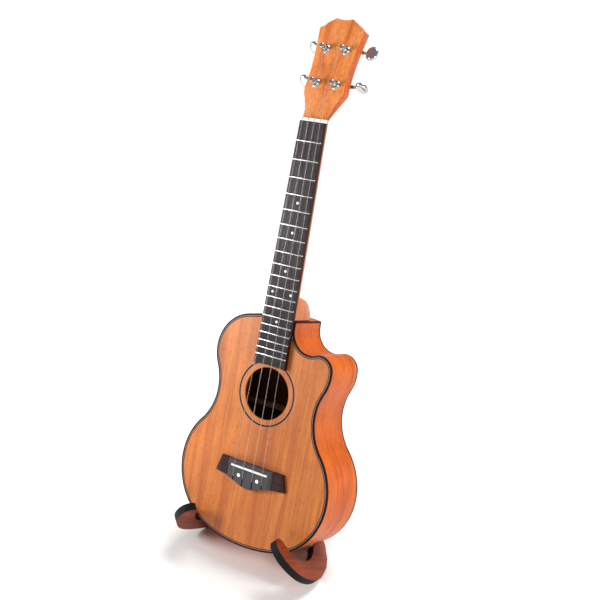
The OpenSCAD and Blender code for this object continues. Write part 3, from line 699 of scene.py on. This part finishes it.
def make_body():
    slab("body_top", [outline(PLATE_IN), hole_circle(HOLE_R)], -TOP_T, 0, [TOP_WOOD], "instrument",
         ["soundboard"])
    make_edges()
    make_back()
    band_in, band_out = RING_IN + RING_LINE, RING_OUT - RING_LINE
    for name, r0, r1, mat, slot, cad in (
            ("rosette_band", band_in, band_out, DARK_LINE, "dark_binding", "rosette_dark"),
            ("rosette_line_in", RING_IN, band_in, PALE_LINE, "pale_line", "rosette_pale"),
            ("rosette_line_out", band_out, RING_OUT, PALE_LINE, "pale_line", "rosette_pale")):
        ring = [hole_circle(r1), hole_circle(r0)]
        slab(name, ring, -RING_T, RING_PROUD, [mat], "instrument", [cad])
    x0, x1, low_y = CUT_X - CORNER_W, CUT_X + 0.06, TOP_Y - CORNER_L
    y_top = TOP_CY + math.sqrt(TOP_R ** 2 - CUT_X ** 2)
    corner = [(x1, low_y), (x1, y_top + 0.06), (x0, y_top + 0.3), (x0, low_y)]
    front = [(x, y, -BIND_H) for x, y in corner]
    rear = [(x, y, back_z(y, BACK_BIND)) for x, y in corner]
    add_piece("cutaway_corner_strip", loft([front, rear]), BINDING, "instrument",
              ["cutaway_strip"], smooth=20)


# ------ neck and fretboard
BOARD_END, BOARD_T, BOARD_NUT, TAPER = 131.0, 6.0, 35.0, 0.0366
FRET_COUNT, FRET_R = 19, 0.85
NECK_NUT, NECK_HEEL, HEEL_D, HEEL_L = 12.0, 15.0, 54.0, 26.0
HEEL_POW, HEEL_SQUARE, NECK_SQUARE = 2.4, 0.52, 1.08
HEEL_STEPS, SHAFT_STEPS, NECK_SIDES = 28, 16, 56
END_BOW, END_ANGLE = 1.2, 30
DOTS, TWIN_DOTS_X = (5, 7, 10, 15), 13.5
DOT_DOME = [(1.6, -0.3), (1.6, 0.0), (1.45, 0.05), (0.8, 0.07), (0, 0.08)]


def board_w(y):
    """The fretboard's width at a distance y from the saddle."""
    return BOARD_NUT + (SCALE_LEN - y) * TAPER


def fret_y(n):
    """The distance of fret n from the saddle."""
    return SCALE_LEN * 2 ** (-n / 12)


def heel_part(y):
    """How far along the heel y is, from 0 at the body to 1 where the shaft begins."""
    return min(1.0, (y - TOP_Y) / HEEL_L)


def neck_depth(y):
    shaft = NECK_HEEL + (NECK_NUT - NECK_HEEL) * (y - TOP_Y) / (HEAD_Y - TOP_Y)
    return shaft + (HEEL_D - shaft) * (1 - heel_part(y) ** HEEL_POW) ** (1 / HEEL_POW)


def make_neck():
    ys = [TOP_Y + HEEL_L * math.sin(math.radians(90 * i / HEEL_STEPS)) for i in range(HEEL_STEPS + 1)]
    shaft_l = HEAD_Y - TOP_Y - HEEL_L
    ys += [TOP_Y + HEEL_L + shaft_l * i / SHAFT_STEPS for i in range(1, SHAFT_STEPS + 1)]
    angles = [math.pi * i / NECK_SIDES for i in range(NECK_SIDES + 1)]
    rings = []
    for y in ys:
        w, d = board_w(y) / 2, neck_depth(y)
        square = HEEL_SQUARE + (NECK_SQUARE - HEEL_SQUARE) * heel_part(y)
        rings.append([(w * math.cos(a), y, -d * math.sin(a) ** square) for a in angles])
    add_piece("neck_shaft", loft(rings), NECK_WOOD, "instrument", ["neck"], smooth=40)


def make_fretboard():
    w0, w1 = board_w(BOARD_END) / 2, BOARD_NUT / 2
    full = math.sin(math.radians(END_ANGLE))
    end = [(w0 * math.sin(math.radians(a)) / full, BOARD_END + END_BOW - END_BOW * (a / END_ANGLE) ** 2)
           for a in range(-END_ANGLE, END_ANGLE + 1, 5)]
    loop = end + [(w1, SCALE_LEN), (-w1, SCALE_LEN)]
    slab("fretboard_wood", [loop], 0, BOARD_T, [DARK_WOOD, BOARD_SIDE], "instrument",
         ["fretboard"], bevel=0.35)
    parts = []
    for n in range(1, FRET_COUNT + 1):
        y, half = fret_y(n), board_w(fret_y(n)) / 2
        rings = []
        for x, swell in ((-half, 0.25), (-half + 0.35, 0.8), (-half + 0.9, 1.0), (half - 0.9, 1.0),
                         (half - 0.35, 0.8), (half, 0.25)):
            ring = []
            for degrees in range(0, 181, 15):
                a = math.radians(degrees)
                ring.append((x, y + FRET_R * math.cos(a) * (0.6 + 0.4 * swell),
                             BOARD_T + 0.99 * FRET_R * math.sin(a) * swell - 0.02))
            rings.append(ring)
        parts.append(loft(rings))
    add_piece("fret_wires", join(*parts), FRET_METAL, "instrument", ["frets"], smooth=50)
    dots = [(0, (fret_y(n) + fret_y(n - 1)) / 2) for n in DOTS]
    dots += [(s * TWIN_DOTS_X, (fret_y(12) + fret_y(11)) / 2) for s in (-1, 1)]
    domes = [(*lathe(DOT_DOME, 32), Matrix.Translation((x, y, BOARD_T))) for x, y in dots]
    add_piece("fretboard_dots", join(*domes), PEARL, "instrument", ["position_dots"])


# ------ where the strings lie, and the nut
STRING_R = (0.38, 0.48, 0.42, 0.34)
SADDLE_X = (-21.6, -7.2, 7.2, 21.6)
NUT_X = (-12.75, -4.25, 4.25, 12.75)
SADDLE_TOP, SADDLE_T, SADDLE_HALF = 10.2, 2.5, 27.0
NUT_TOP, NUT_FALL, GROOVE_GAP = 8.2, 0.5, 0.12


def string_z_nut(i):
    return BOARD_T + FRET_R + 0.5 + STRING_R[i]


def nut_crown(x):
    """The nut's top, which falls towards its ends and has a groove under each string."""
    crown = NUT_TOP - NUT_FALL * (x / (BOARD_NUT / 2)) ** 4
    for i in range(4):
        gap = abs(x - NUT_X[i])
        r = STRING_R[i] + GROOVE_GAP
        if gap < r:
            crown = min(crown, string_z_nut(i) - math.sqrt(max(0.0, r * r - gap * gap)))
    return crown


def make_nut():
    half = BOARD_NUT / 2
    xs = [half * (k / 40) for k in range(-40, 41)]
    xs += [middle + dx for middle in NUT_X for dx in (-0.62, -0.5, -0.25, 0, 0.25, 0.5, 0.62)]
    y0, y1 = SCALE_LEN, SCALE_LEN + NUT_T
    rings = []
    for x in sorted(xs):
        crown = nut_crown(x)
        rings.append([(x, y0, 0.02), (x, y1, 0.02), (x, y1, crown - 1.1), (x, y1 - 0.5, crown - 0.55),
                      (x, y1 - 1.3, crown - 0.15), (x, y0 + 0.9, crown), (x, y0 + 0.3, crown - 0.08),
                      (x, y0, crown - 0.4)])
    add_piece("nut_bone", loft(rings), BONE, "instrument", ["nut"], smooth=50)


# ------ headstock
HEAD_FLARE = [(17.6, 0), (18.2, 8), (22.5, 21), (27.6, 34), (27.1, 48), (26.9, 62), (28.6, 88),
              (31.8, 113.5)]
HEAD_CROWN = [(31.8, 113.5), (26.5, 116.4), (22, 120.5)]
HEAD_DIP = [(11.5, 127), (0, 125.2), (-11.5, 127)]
HEAD_TAPER = (-0.591, -1)
HEAD_TAPER_AT = 19.5


def make_headstock():
    half = spline(HEAD_FLARE, 8) + spline(HEAD_CROWN, 8) + HEAD_CROWN[-1:]
    loop = half + spline(HEAD_DIP, 10) + HEAD_DIP[-1:] + [(-x, y) for x, y in reversed(half)]
    tapers = [((side * HEAD_TAPER_AT, 0, 0), (side, *HEAD_TAPER)) for side in (1, -1)]
    slab("headstock_wood", [loop], -HEAD_T, 0, [HEAD_WOOD, SHADED_HEAD_SIDE], "instrument",
         ["headstock"], local=HEAD, bevel=0.7, segments=4, smooth=32, cuts=tapers)


# ------ bridge
BRIDGE_FRONT, BRIDGE_T, BLOCK_TOP, BLOCK_HALF = 6.5, 5.0, 8.5, 33.0
FRONT_HALF, REAR_HALF = 46.5, 52.5
BRIDGE_REAR = [(-REAR_HALF, -14.5), (-33, -16.5), (-22, -19), (-11, -22.8), (0, -24.8), (11, -22.8),
               (22, -19), (33, -16.5), (REAR_HALF, -14.5)]
HOLLOW, HOLLOW_REAR, HOLLOW_FRONT, RAMP_W = 1.5, -22, 8, 3.2
WING_FALL, WING_FALL_X, WING_FALL_W, BLOCK_CROWN = 0.9, 44, 8, 0.25
RIM_DROP, RIM_W, SIDE_DROP, SIDE_W = 0.9, 0.8, 0.7, 0.9
TIE_Y, TIE_HALF, TIE_Z = -13.5, 0.68, 3.4
BOLT_X, BOLT_Y = 14.0, -10.5
BOLT_DOME = [(2.3, 6.8), (2.3, 8.55), (2.0, 8.72), (1.1, 8.8), (0, 8.82)]


def ease(t):
    """A smooth step from 0 to 1."""
    t = max(0.0, min(1.0, t))
    return t * t * (3 - 2 * t)


def bridge_z(x, y):
    """Top surface: thin wings, a raised block with hollowed ramps between, and a fall to the rear edge."""
    border = BLOCK_HALF
    if HOLLOW_REAR < y < HOLLOW_FRONT:
        border -= HOLLOW * math.sin(math.pi * (y - HOLLOW_REAR) / (HOLLOW_FRONT - HOLLOW_REAR))
    rise = ease((border + RAMP_W / 2 - abs(x)) / RAMP_W)
    wing = BRIDGE_T - WING_FALL * ease((abs(x) - WING_FALL_X) / WING_FALL_W)
    block = BLOCK_TOP - BLOCK_CROWN * (x / BLOCK_HALF) ** 2
    return wing + (block - wing) * rise


def bridge_point(s, t, rear_y):
    """A point of the bridge's top, with s from -1 to 1 across it and t from 0 in front to 1 at the rear.
    The bridge is taken as 24 mm deep and 52 mm to a side where its edges are rounded off."""
    front_x, rear_x = FRONT_HALF * s, REAR_HALF * s
    x = front_x + (rear_x - front_x) * t
    y = BRIDGE_FRONT + (rear_y - BRIDGE_FRONT) * t
    to_rim = min(t, 1 - t) * 24
    to_side = (1 - abs(s)) * 52
    z = bridge_z(x, y)
    z -= RIM_DROP * (1 - ease(to_rim / RIM_W)) + SIDE_DROP * (1 - ease(to_side / SIDE_W))
    if y < TIE_Y and any(abs(x - string_x) < TIE_HALF for string_x in SADDLE_X):
        z = min(z, TIE_Z)
    return x, y, z


def bridge_rows():
    """How finely the bridge is divided across and from front to rear."""
    across = [s / 100 for s in range(-100, 101, 2)]
    across += [(x + dx) / REAR_HALF for x in SADDLE_X for dx in (-0.75, -0.6, 0.6, 0.75)]
    across += [side * v for side in (-1, 1) for v in (0.985, 0.995, 0.60, 0.615, 0.63, 0.645)]
    back = [0, 0.012, 0.03] + [k / 22 for k in range(1, 22)] + [0.97, 0.988, 1]
    return sorted(set(round(v, 5) for v in across)), back


def make_bridge():
    table = sorted(spline(BRIDGE_REAR, 8) + BRIDGE_REAR[-1:])

    def rear(x):
        for (x0, y0), (x1, y1) in zip(table, table[1:]):
            if x <= x1:
                return y0 + (y1 - y0) * (x - x0) / max(1e-9, x1 - x0)
        return table[-1][1]

    across, back = bridge_rows()
    rears = [rear(REAR_HALF * s) for s in across]
    n, m = len(across), len(back)
    top = [bridge_point(s, t, rear_y) for t in back for s, rear_y in zip(across, rears)]
    verts = top + [(p[0], p[1], 0.0) for p in top]
    faces = []
    for i in range(m - 1):
        for j in range(n - 1):
            a = i * n + j
            faces.append((a, a + 1, a + n + 1, a + n))
            b = a + m * n
            faces.append((b, b + n, b + n + 1, b + 1))
    border = list(range(n)) + [i * n + n - 1 for i in range(1, m)]
    border += [(m - 1) * n + j for j in range(n - 2, -1, -1)] + [i * n for i in range(m - 2, 0, -1)]
    for a, b in zip(border, border[1:] + border[:1]):
        faces.append((a, a + m * n, b + m * n, b))
    add_piece("bridge_body", (verts, faces), BRIDGE_WOOD, "instrument", ["bridge"], smooth=42)
    make_saddle()
    covers = [(*lathe(BOLT_DOME, 32), Matrix.Translation((side * BOLT_X, BOLT_Y, 0))) for side in (-1, 1)]
    add_piece("bridge_bolt_covers", join(*covers), PEARL, "instrument", ["bridge_dots"])


def make_saddle():
    """A bone blade with a round top and rounded ends."""
    rings = []
    for x, drop in ((-SADDLE_HALF, 0.9), (-SADDLE_HALF + 0.4, 0.3), (-SADDLE_HALF + 1.2, 0.03),
                    (SADDLE_HALF - 1.2, 0.03), (SADDLE_HALF - 0.4, 0.3), (SADDLE_HALF, 0.9)):
        half = SADDLE_T / 2 - 0.02 - (0.2 if drop > 0.5 else 0)
        angles = [math.radians(a) for a in range(0, 181, 15)]
        ring = [(x, half * math.cos(a), SADDLE_TOP - drop - 0.9 * (1 - math.sin(a))) for a in angles]
        rings.append(ring + [(x, -half, 6.0), (x, half, 6.0)])
    add_piece("bridge_saddle", loft(rings), BONE, "instrument", ["saddle"], smooth=50)


# ------ strings
WIND_H, POST_WAIST, WIND_TURNS, TURN_STEPS = 7.5, 2.1, 3, 22
WIND_R = POST_WAIST + 0.1
KNOT_R, KNOT_Y, KNOT_Z = 1.3, -18.2, 4.0


def from_head(p):
    return tuple(HEAD @ Vector(p))


def rounded(path, reach):
    """A path with each corner replaced by a short curve."""
    steps = 5
    points = [Vector(p) for p in path]
    out = [points[0]]
    for a, b, c in zip(points, points[1:], points[2:]):
        d = min(reach, (a - b).length * 0.4, (c - b).length * 0.4)
        p, q = b + (a - b).normalized() * d, b + (c - b).normalized() * d
        for k in range(steps + 1):
            t = k / steps
            out.append(p * (1 - t) ** 2 + b * (2 * t * (1 - t)) + q * t * t)
    out.append(points[-1])
    return out


def make_string(i):
    """One string from its knot behind the bridge to its post, with its knot."""
    r, side, x = STRING_R[i], POST_SIDE[i], SADDLE_X[i]
    end = from_head((side * (POST_X - WIND_R - r), POST_S[i] + 0.6, WIND_H + r))
    path = [(x, -19.2, 3.9), (x, -14.0, 7.0), (x, -12.6, BLOCK_TOP + r), (x, 0, SADDLE_TOP + r + 0.01),
            (NUT_X[i], SCALE_LEN, string_z_nut(i)), (NUT_X[i], HEAD_Y, string_z_nut(i)), end]
    arch = [at_angle(0, 0, KNOT_R, a) for a in range(-75, 76, 15)]
    knot = lathe([(0, -KNOT_R)] + arch + [(0, KNOT_R)], 20)
    shape = join(tube(rounded(path, 1.2), r), (*knot, Matrix.Translation((x, KNOT_Y, KNOT_Z))))
    add_piece("string_line_" + LETTERS[i], shape, NYLON, "instrument",
              ["string_" + LETTERS[i]], smooth=60)


def make_turns(i):
    """The string's turns around its post, in the post's own frame, and its end tucked through."""
    r = STRING_R[i]
    turns = []
    for k in range(WIND_TURNS * TURN_STEPS + 1):
        a = math.pi + 2 * math.pi * k / TURN_STEPS
        turns.append(((WIND_R + r) * math.cos(a), (WIND_R + r) * math.sin(a),
                      WIND_H + r + 2.02 * r * k / TURN_STEPS))
    x, y, z = turns[-1]
    turns += [(x * 0.7, y - 1.0, z + 0.3), (x * 0.2, 0.4, z + 0.35), (1.5, 0.2, z + 0.3),
              (3.6, 0.6, z + 0.5)]
    add_piece("string_turns_" + LETTERS[i], tube(turns, r, 12), NYLON, "tuner_post_" + LETTERS[i],
              ["winding_" + LETTERS[i]], local=tuner_frame(i), smooth=60)


def make_strings():
    for i in range(4):
        make_string(i)
        make_turns(i)


# ------ tuners
GEAR_GAP, CASE_D, BUTTON_OUT = 5.2, 8.0, 26.2
GEAR_Z = -HEAD_T - CASE_D / 2
POST_R, BUSH_IN = 3.0, 3.06
BUTTON_HALF = (7.6, 9.0, 3.4)
BUTTON_TURN = (52, 56, -8, 72)
TURN_X = Matrix.Rotation(math.radians(90), 4, "Y")
BUTTON_AXIS = Matrix.Translation((0, GEAR_GAP, GEAR_Z))
CASE_W, CASE_IN, CASE_UP, CASE_R = 15.0, 5.2, 9.2, 2.2
FOOT_Y, FOOT_T, FOOT_R = -14.0, 1.4, 3.5
# Turned shapes, as (radius, height) points
COLLAR = [(1.3, BUTTON_OUT - 9.0), (2.2, BUTTON_OUT - 8.6), (2.4, BUTTON_OUT - 8.0),
          (2.2, BUTTON_OUT - 7.4), (1.8, BUTTON_OUT - 7.0), (2.3, BUTTON_OUT - 6.2),
          (2.7, BUTTON_OUT - 5.0)]
POST = [(0, GEAR_Z - 2.6), (1.8, GEAR_Z - 2.6), (1.8, GEAR_Z + 1.6), (POST_R - 0.05, GEAR_Z + 1.7),
        (POST_R - 0.05, 5.0), (POST_R - 0.3, 5.5), (POST_WAIST, 6.4), (POST_WAIST, 10.4),
        (POST_R - 0.4, 11.3), (POST_R, 11.6), (POST_R, 12.0), (POST_R - 0.5, 12.5),
        (POST_R - 1.3, 12.5), (0, 12.25)]
BUSH = [(BUSH_IN, -4), (4.2, -4), (4.2, 0), (5.7, 0.0), (5.7, 0.6), (5.45, 0.95), (5.2, 1.1),
        (4.95, 1.1), (4.8, 1.3), (4.8, 2.3), (4.5, 2.7), (4.1, 2.8), (3.5, 2.8), (3.3, 2.55),
        (BUSH_IN, 2.3), (BUSH_IN, -4)]
SHAFT = [(0, -5.4), (1.2, -5.4), (1.2, BUTTON_OUT - 8), (1.0, BUTTON_OUT - 7.9), (0, BUTTON_OUT - 7.9)]
SLEEVE = [(1.6, 8.6), (2.4, 8.7), (2.4, 11.0), (2.1, 11.6), (1.9, 13.0), (2.2, 13.6), (2.2, 15.2),
          (1.6, 15.8), (1.2, 16.4)]
SCREW = [(0, -FOOT_T - 0.7), (0.5, -FOOT_T - 1.0), (1.3, -FOOT_T - 1.05), (1.9, -FOOT_T - 0.5),
         (2.0, -FOOT_T), (1.1, -FOOT_T)]


def power(x, exponent):
    """A power that keeps the sign of x."""
    return math.copysign(abs(x) ** exponent, x)


def button_mesh():
    """An oval cast button: wide across and thinner through."""
    rows, cols = 22, 40
    a, b, c = BUTTON_HALF
    rings = []
    for i in range(rows + 1):
        u = math.pi * i / rows - math.pi / 2
        reach = power(math.cos(u), 0.75)
        angles = [2 * math.pi * j / cols for j in range(cols)]
        rings.append([(a * reach * power(math.cos(v), 0.9), b * reach * power(math.sin(v), 0.9),
                       c * power(math.sin(u), 0.8)) for v in angles])
    return loft(rings)


def make_tuner(i):
    tag = LETTERS[i]
    local = tuner_frame(i)
    first = i == 0
    turned = BUTTON_AXIS @ TURN_X
    spin = Matrix.Rotation(math.radians(BUTTON_TURN[i]), 4, "X")
    button_place = BUTTON_AXIS @ spin @ Matrix.Translation((BUTTON_OUT, 0, 0))
    button = join((*button_mesh(), button_place), (*lathe(COLLAR, 32), turned))
    shaft = join((*lathe(SHAFT, 32), turned), (*lathe(SLEEVE, 32), turned))
    screw_place = local @ Matrix.Translation((0, FOOT_Y, -HEAD_T))
    add_piece("tuner_button_cap_" + tag, button, CHROME, "tuner_button_" + tag,
              ["button_" + tag], local=local, smooth=40)
    add_piece("tuner_post_pin_" + tag, lathe(POST), CHROME, "tuner_post_" + tag,
              ["post_" + tag], local=local, smooth=40)
    add_piece("tuner_bush_" + tag, lathe(BUSH), CHROME, "instrument",
              ["tuner_bushes"] if first else [], local=local)
    add_piece("tuner_housing_" + tag, housing_mesh(), CHROME, "instrument",
              ["tuner_housings"] if first else [], local=local)
    add_piece("tuner_screw_" + tag, lathe(SCREW, 32), STEEL, "instrument",
              ["tuner_screws"] if first else [], local=screw_place)
    add_piece("tuner_shaft_" + tag, shaft, DARK_METAL, "tuner_button_" + tag,
              ["button_shaft_" + tag], local=local, smooth=40)


def housing_mesh():
    """Die-cast housing with rounded corners, and a foot plate for its screw."""
    x0, x1, y0, y1 = -CASE_W / 2, CASE_W / 2, -CASE_IN, CASE_UP
    r = CASE_R
    loop = []
    for cx, cy, a0 in ((x1 - r, y1 - r, 0), (x0 + r, y1 - r, 90), (x0 + r, y0 + r, 180),
                       (x1 - r, y0 + r, 270)):
        loop += [at_angle(cx, cy, r, a) for a in range(a0, a0 + 91, 15)]
    cx, cy = (x0 + x1) / 2, (y0 + y1) / 2
    hx, hy = (x1 - x0) / 2, (y1 - y0) / 2
    far = -HEAD_T - CASE_D
    rings = []
    for z, inset in ((-HEAD_T, 0), (far + 1.6, 0.0), (far + 0.7, 0.35), (far + 0.2, 0.9), (far, 1.7)):
        rings.append([(cx + (x - cx) * (hx - inset) / hx, cy + (y - cy) * (hy - inset) / hy, z)
                      for x, y in loop])
    foot = [at_angle(0, FOOT_Y, FOOT_R, a) for a in range(180, 361, 12)] + [(FOOT_R, -3), (-FOOT_R, -3)]
    return join(loft(rings), loft([[(x, y, z) for x, y in foot] for z in (-HEAD_T, -HEAD_T - FOOT_T)]))


def make_tuners():
    for i in range(4):
        make_tuner(i)


# ------ stand
STAND_T, CROSS_Y, CROSS_Z, CROSS_RISE, ARM_SLOPE = 9.5, -7.0, -12.0, 31.4, 41.0
SLOT_W, SLOT_MID = 11.1, -146.0
CURVE_STEPS = 12
rise, slope = math.radians(CROSS_RISE), math.radians(ARM_SLOPE)
FLOOR_SLOPE = math.sin(slope) * math.cos(rise) / math.sin(rise)
FOOT_LAND = 1.6
CROSS_UP = SADDLE[2] + CROSS_Z - STAND_T / 2 * math.cos(slope) * math.cos(rise)
FLOOR_LOW = -(CROSS_UP + FOOT_LAND) / math.sin(rise)
BACK_LINE, BACK_FALL = -80.6, 0.199
BACK_U, LIP_U = -112.0, 80.0


def on_floor(u):
    """The point of a board's outline just below the floor, where the floor's plane cuts it off."""
    return (u, FLOOR_LOW + FLOOR_SLOPE * u)


def back_v(u):
    """The straight edge behind the instrument's back."""
    return BACK_LINE - BACK_FALL * u


RIGHT_NOSE = [(84.5, 6), (86.5, 12.5), (92, 17.5), (99, 19.5), (109.5, 18), (120.5, 12), (131, 1),
              (137.5, -12), (140, -30), (138, -46), (133, -60), on_floor(121)]
RIGHT_CRADLE = [(84.6, -97.6), (85.8, -89), (89.2, -78.2), (94.6, -71.6), (101, -65), (110, -50.5),
                (114, -34), (113, -22), (108.7, -13.5), (103, -6.5), (97.5, -3), (91, -0.5), (86.5, 2),
                (84.5, 6)]
LEFT_NOSE = [(80.5, 7), (83, 14.5), (88.5, 18.3), (95, 17.8), (102, 14.6), (109, 9.5), (115.5, 3),
             (121, -4.5), (126.5, -13.5), (131.5, -23), (134.3, -34), (134.3, -46), (130.8, -60),
             on_floor(121)]
LEFT_CRADLE = [(84.6, -97.6), (85.8, -89), (89.2, -78.2), (94.2, -71.6), (99.5, -64), (104, -52),
               (106, -38), (104.5, -26), (100.5, -17), (95.5, -10.5), (90.5, -5.5), (86, -1.5),
               (82.2, 2.5), (80.5, 7)]
ARCH = [on_floor(107), (99, -102), (90, -108), (81.5, -111.5), (70, -116), (58, -122.5), (46, -134),
        (35, -152), (24, -174), on_floor(10)]
REAR_EDGE = [on_floor(-26), (-42, -212), (-56, -188), (-65, -162), (-74, -132), (-92, -96), (-104, -76),
             (-110, -66), (BACK_U, back_v(BACK_U))]
BOARD = (Matrix.Translation((0, CROSS_Y + SADDLE[1], SADDLE[2] + CROSS_Z))
         @ Matrix.Rotation(math.radians(180 - CROSS_RISE), 4, "X") @ Matrix.Rotation(-slope, 4, "Y"))


def board_loop(nose, cradle, cut_top):
    """One board's outline. Its slot opens at the top or at the bottom, so that the two boards interlock."""
    half = SLOT_W / 2
    shape = spline(nose, CURVE_STEPS) + nose[-1:] + spline(ARCH, CURVE_STEPS) + ARCH[-1:]
    if cut_top:
        shape += spline(REAR_EDGE, CURVE_STEPS) + REAR_EDGE[-1:]
        shape += [(-half, back_v(-half)), (-half, SLOT_MID), (half, SLOT_MID), (half, back_v(half))]
    else:
        below = FLOOR_LOW + FLOOR_SLOPE * half
        shape += [(half, below), (half, SLOT_MID), (-half, SLOT_MID), (-half, below - FLOOR_SLOPE * SLOT_W)]
        shape += spline(REAR_EDGE, CURVE_STEPS) + REAR_EDGE[-1:]
    return shape + [(LIP_U, back_v(LIP_U))] + spline(cradle, CURVE_STEPS)


def make_board(name, loop, mirror, cad):
    flip = Matrix.Scale(-1, 4, (1, 0, 0)) if mirror else IDENTITY
    unplace = BOARD.inverted()
    floor_cut = (unplace @ Vector((0, 0, 0)), unplace.to_3x3() @ Vector((0, 0, -1)))
    slab(name, [loop], -STAND_T / 2, STAND_T / 2, [STAND_FACE, STAND_EDGE], "stand", [cad],
         bevel=0.6, place=Matrix.Scale(MM, 4) @ flip @ BOARD, cuts=[floor_cut])


def make_stand():
    make_board("stand_right", board_loop(RIGHT_NOSE, RIGHT_CRADLE, True), False, "stand_board_right")
    make_board("stand_left", board_loop(LEFT_NOSE, LEFT_CRADLE, False), True, "stand_board_left")


# ------ kept CAD nodes
KEPT_WOOD = ("lining_front", "lining_back", "neck_block", "tail_block", "top_braces", "bridge_patch",
             "back_braces", "neck_dowels")
KEPT_STEEL = ("bridge_nuts", "bridge_bolts")


def dress_kept():
    """Materials for the CAD nodes that stay in view. Their points are metres in the row's frame."""
    wood_cad = wood("inner_wood_cad", (196, 150, 104), (178, 130, 88), (150, 104, 70), gloss=0.7,
                    coat=0.0, unit=1000.0, turn=(-(90 - LEAN), 0, 0))
    steel_cad = metal("steel_cad", STEEL_COLOR, 0.22, 600.0)
    brass_cad = metal("brass_cad", (0.80, 0.60, 0.32), 0.28, 500.0)
    dress = {name: wood_cad for name in KEPT_WOOD}
    dress.update({name: steel_cad for name in KEPT_STEEL})
    dress.update({"gear_" + letter: brass_cad for letter in LETTERS})
    for name, mat in dress.items():
        mesh = nodes[name].data
        mesh.materials.clear()
        mesh.materials.append(mat)


make_camera()
make_studio()
make_floor()
make_body()
make_neck()
make_fretboard()
make_nut()
make_headstock()
make_bridge()
make_strings()
make_tuners()
make_stand()
dress_kept()
